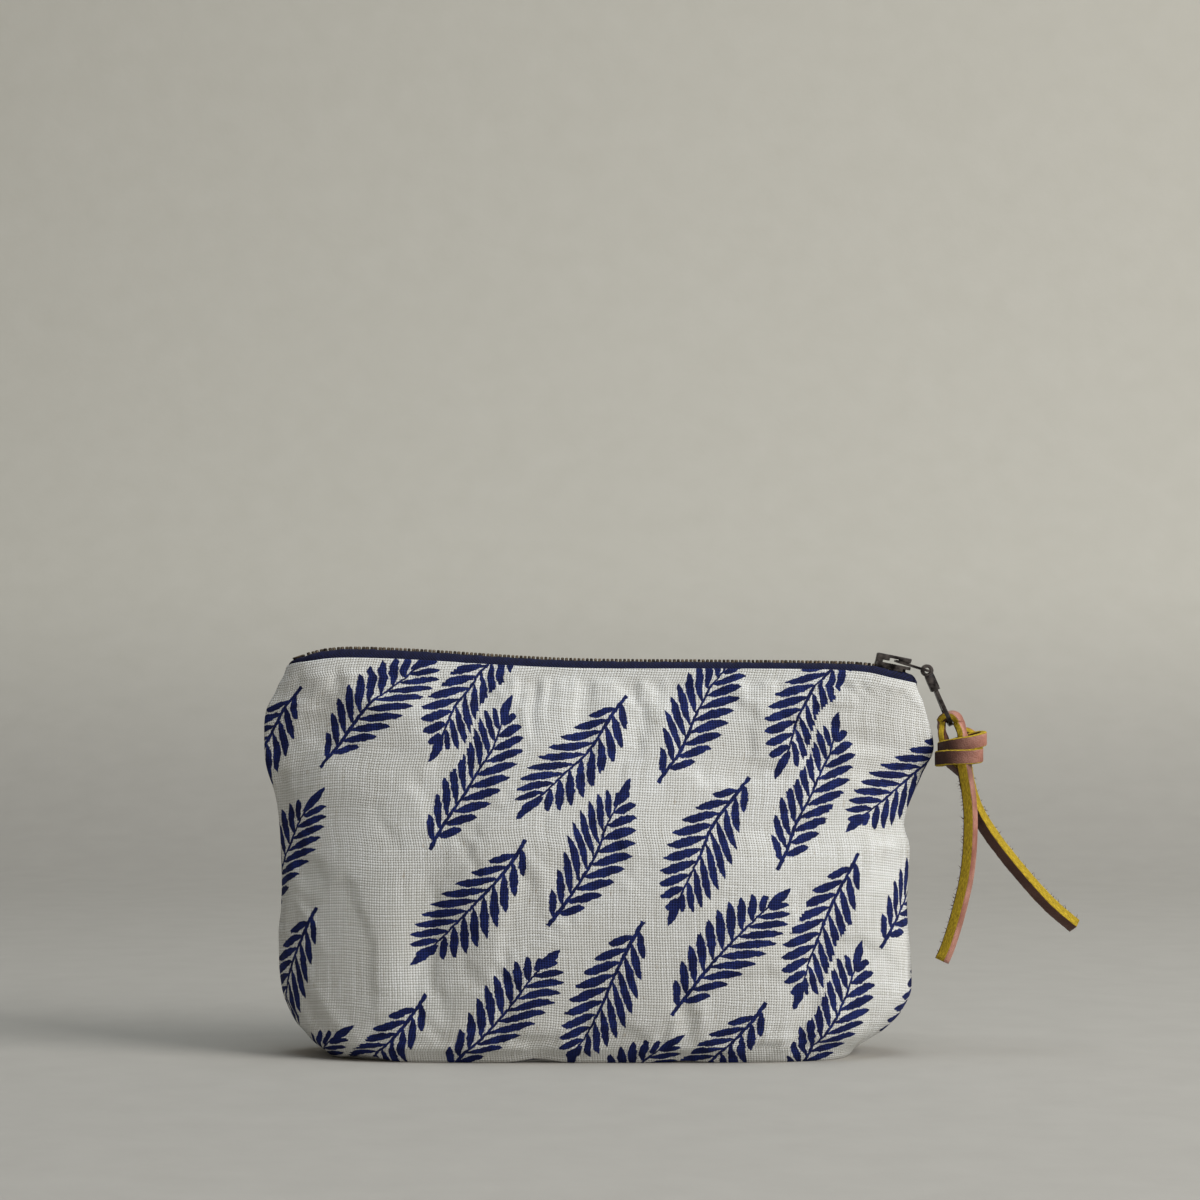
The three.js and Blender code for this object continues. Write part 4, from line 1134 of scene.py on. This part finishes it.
# %% Two bands of twill
def twill_finish():
    made = Finish("navy_twill", roughness=0.85, specular=0.25)
    u, v = made.cloth_map("cloth")
    band = ((v * (1 / 3.2)).fraction() > 0.5) * 2.0 - 1.0
    rib = ((u + v * band) * (2 * math.pi / 0.8)).sine() * 0.5 + 0.5
    yarn = (v * (2 * math.pi / 0.4)).sine() * 0.5 + 0.5
    wear_and_shade = made.noise(made.together(u, v), 0.6, 3.0)
    # Painted shade: the grooves between the twill's ribs are darker than the ribs
    colour = made.mix(rib, srgb(3, 5, 22), srgb(12, 17, 56))
    made.surface(
        Base_Color=made.mix(wear_and_shade.between(0.45, 0.8) * 0.3, colour, srgb(26, 34, 82)),
        Normal=made.bump(rib * 0.7 + yarn * 0.3, 0.00012, 0.8))
    return made.material


twill = twill_finish()
for name, front, node in (("tape_front", True, "front_tape"), ("tape_back", False, "back_tape")):
    band = tape(name, front)
    band.data.materials.append(twill)
    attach(band, "pouch")
    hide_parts(node)
    print(name, len(band.data.polygons), "faces")

# %% [markdown]
# ## Metal
#
# The teeth, slider and pull have an antique finish, dark in the hollows and rubbed to a pale warm grey on
# top; here dark and pale lie in broad patches of noise instead.
# One finish serves them all, with fine pits for the casting and broader patches of tarnish.

# %% Antique metal
def metal_finish(name, dark, bright, roughness):
    made = Finish(name, metallic=1.0)
    where = made.place()
    tarnish = made.noise(where, 420.0, 4.0, 0.6)
    pits = made.noise(where, 2400.0, 3.0)
    made.surface(
        Base_Color=made.mix(tarnish.between(0.32, 0.66), dark, bright),
        Roughness=roughness + 0.22 * tarnish.between(0.75, 0.3),
        Normal=made.bump(pits, 0.00006, 0.7))
    return made.material


tooth_metal = metal_finish("antique_teeth", srgb(36, 30, 26), srgb(112, 98, 82), 0.36)
slider_metal = metal_finish("antique_slider", srgb(26, 24, 25), srgb(92, 87, 86), 0.3)
print("metals", tooth_metal.name, slider_metal.name)

# %% [markdown]
# ## Teeth
#
# A tooth is pressed from sheet: two legs clamp the cord on the tape's edge and a rounded head reaches over
# the middle, with a small raised nib. One tooth is modelled from a cube, and 140 copies are set along both
# edges of the zip, half a step apart.

# %% One tooth
def edit(piece):
    """Opens a piece in edit mode with nothing selected, and returns its mesh."""
    select(piece)
    bpy.ops.object.mode_set(mode="EDIT")
    bpy.ops.mesh.select_all(action="DESELECT")
    return bmesh.from_edit_mesh(piece.data)


def weld(piece):
    """Merges points that a bevel has left in one place."""
    edit(piece)
    bpy.ops.mesh.select_all(action="SELECT")
    bpy.ops.mesh.remove_doubles(threshold=0.003 * mm)
    bpy.ops.mesh.dissolve_degenerate(threshold=0.001 * mm)
    bpy.ops.object.mode_set(mode="OBJECT")


def block(low, high):
    """A box between two corners in millimetres."""
    select()
    low, high = np.array(low) * mm, np.array(high) * mm
    bpy.ops.mesh.primitive_cube_add(size=1, location=tuple((low + high) / 2))
    piece = bpy.context.object
    piece.scale = tuple(high - low)
    bpy.ops.object.transform_apply(location=True, rotation=False, scale=True)
    return piece


tooth = block((-0.37, -0.705, -1.05), (0.37, 2.145, 1.05))
tooth.name = "tooth"
shape = edit(tooth)
for face in shape.faces:
    face.select = face.normal.y < -0.9
bmesh.update_edit_mesh(tooth.data)
bpy.ops.transform.resize(value=(0.8, 1, 0.6))
bpy.ops.mesh.select_all(action="DESELECT")
shape = bmesh.from_edit_mesh(tooth.data)
for face in shape.faces:
    face.select = face.normal.z > 0.5
bmesh.update_edit_mesh(tooth.data)
bpy.ops.mesh.inset(thickness=0.22 * mm)
bpy.ops.transform.translate(value=(0, 0, 0.1 * mm))
bpy.ops.object.mode_set(mode="OBJECT")
apply_modifier(tooth, "BEVEL", width=0.13 * mm, segments=1, limit_method="ANGLE", angle_limit=0.5)
weld(tooth)
bpy.ops.object.shade_smooth_by_angle(angle=0.7)
print("tooth faces", len(tooth.data.polygons))

# %% Both rows of teeth
teeth_pitch, chain_start, slider_x = 2.18, -76.4, 76.7


def join(name, pieces):
    """Joins pieces into the first one, under a new name."""
    select(*pieces)
    bpy.ops.object.join()
    joined = bpy.context.object
    joined.name = name
    return joined


def teeth_row(name, front):
    """Copies of the tooth along one edge, joined into a row, and how many there are."""
    x = chain_start + (0 if front else teeth_pitch / 2)
    copies = []
    while x < slider_x - 0.4:
        copy = tooth.copy()
        copy.data = tooth.data.copy()
        bpy.context.collection.objects.link(copy)
        slope = float(ridge(x + 1) - ridge(x - 1)) / 2
        copy.matrix_world = (
            Matrix.Translation((x * mm, 0, (float(ridge(x)) - 1) * mm))
            @ Matrix.Rotation(-math.atan(slope), 4, "Y")
            @ Matrix.Rotation(math.radians(float(chance.normal(0, 1.2))), 4, "Z")
            @ Matrix.Scale(1 if not front else -1, 4, (0, 1, 0)))
        copies.append(copy)
        x += teeth_pitch
    row = join(name, copies)
    bpy.ops.object.transform_apply(location=True, rotation=True, scale=True)
    bpy.ops.object.mode_set(mode="EDIT")
    bpy.ops.mesh.select_all(action="SELECT")
    bpy.ops.mesh.normals_make_consistent(inside=False)
    bpy.ops.object.mode_set(mode="OBJECT")
    row.data.materials.clear()
    row.data.materials.append(tooth_metal)
    return row, len(copies)


for name, front, node in (("teeth_front", True, "front_teeth"), ("teeth_back", False, "back_teeth")):
    row, count = teeth_row(name, front)
    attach(row, "pouch")
    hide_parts(node)
    print(name, count, "teeth")
bpy.data.objects.remove(tooth)

# %% [markdown]
# ## Slider, link, pull and stops
#
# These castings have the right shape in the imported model, but its edges are knife sharp, and no casting's
# are. Each is copied, its loose triangles are merged and its flat faces joined again, and the edges are
# rounded by a bevel that follows the angle between faces. The bevel stops before it would overlap itself,
# so an edge with very short ones beside it, as on the link and the slider's plates, stays sharp.

# %% Rounded copies of the cast pieces
smooth_below = math.radians(40)  # the angle between faces below which an edge is shaded round


def rounded(node, name, body, finish, width, swell=0.0):
    """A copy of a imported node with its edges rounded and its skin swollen, standing for that node."""
    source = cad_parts[node]
    piece = source.copy()
    piece.data = source.data.copy()
    piece.name = name
    piece.parent = None
    piece.matrix_world = source.matrix_world.copy()
    piece.animation_data_clear()
    bpy.context.collection.objects.link(piece)
    edit(piece)
    bpy.ops.mesh.select_all(action="SELECT")
    bpy.ops.mesh.remove_doubles(threshold=0.002 * mm)
    bpy.ops.mesh.dissolve_limited(angle_limit=math.radians(4))
    if swell:
        bpy.ops.transform.shrink_fatten(value=swell * mm)
    bpy.ops.object.mode_set(mode="OBJECT")
    apply_modifier(piece, "BEVEL", width=width * mm, segments=2, limit_method="ANGLE",
                   angle_limit=math.radians(32), use_clamp_overlap=True)
    weld(piece)
    bpy.ops.object.shade_smooth_by_angle(angle=smooth_below)
    piece.data.materials.clear()
    piece.data.materials.append(finish)
    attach(piece, body)
    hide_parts(node)
    print(name, len(piece.data.polygons), "faces")


rounded("slider_body", "slider", "slider", slider_metal, 0.16)
rounded("slider_cover", "slider_bridge", "slider", slider_metal, 0.14)

# %% The bridge's hood
# The bridge is a hollow casting: a crowned top, a thick rear end, and cheeks that open over the link's bar
hood_parts = [block((-4.5, -1.46, 3.55), (4.5, 1.46, 4.35)), block((-4.7, -1.46, 1.2), (-2.9, 1.46, 4.2))]
for side in (-1, 1):
    inner, outer = sorted((side * 1.1, side * 1.47))
    hood_parts.append(block((-4.5, inner, 2.75), (-1.2, outer, 4.2)))
    hood_parts.append(block((1.35, inner, 3.05), (4.4, outer, 4.2)))
for part in hood_parts:
    apply_modifier(part, "BEVEL", width=0.2 * mm, segments=3, limit_method="ANGLE")
hood = join("slider_hood", hood_parts)
chain_height, chain_slope = 99.961, 0.2  # where the slider stands
hood.data.transform(
    Matrix.Translation((slider_x * mm, 0, chain_height * mm))
    @ Matrix.Rotation(math.atan(chain_slope), 4, "Y"))
weld(hood)
bpy.ops.object.shade_smooth_by_angle(angle=smooth_below)
hood.data.materials.append(slider_metal)
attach(hood, "slider")
print("hood", len(hood.data.polygons), "faces")

# %% Link, pull and stops
rounded("pull_link", "link", "link", slider_metal, 0.14, swell=0.09)
rounded("pull_tab", "pull", "pull", slider_metal, 0.16, swell=0.12)
rounded("bottom_stop", "end_clip", "pouch", tooth_metal, 0.16)
rounded("front_top_stop", "front_stop", "pouch", tooth_metal, 0.14)
rounded("back_top_stop", "back_stop", "pouch", tooth_metal, 0.14)

# %% [markdown]
# ## Lining
#
# The closed zip hides the lining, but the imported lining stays, with a fine cotton finish.

# %% Plain cotton
def cotton_finish():
    made = Finish("plain_cotton", roughness=0.9, specular=0.2)
    where = made.place()
    threads = made.node("ShaderNodeTexWave", {"wave_type": "BANDS", "bands_direction": "Z"},
                        {"Vector": where, "Scale": 900.0}, "Fac")
    cloud = made.noise(where, 30.0, 3.0)
    made.surface(
        Base_Color=made.mix(cloud, srgb(214, 208, 192), srgb(232, 227, 214)),
        Normal=made.bump(threads, 0.00006))
    return made.material


lining_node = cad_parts["lining"]
lining_node.data.materials.clear()
lining_node.data.materials.append(cotton_finish())
print("lining faces", len(lining_node.data.polygons))

# %% Update the scene, the last line
bpy.context.view_layer.update()
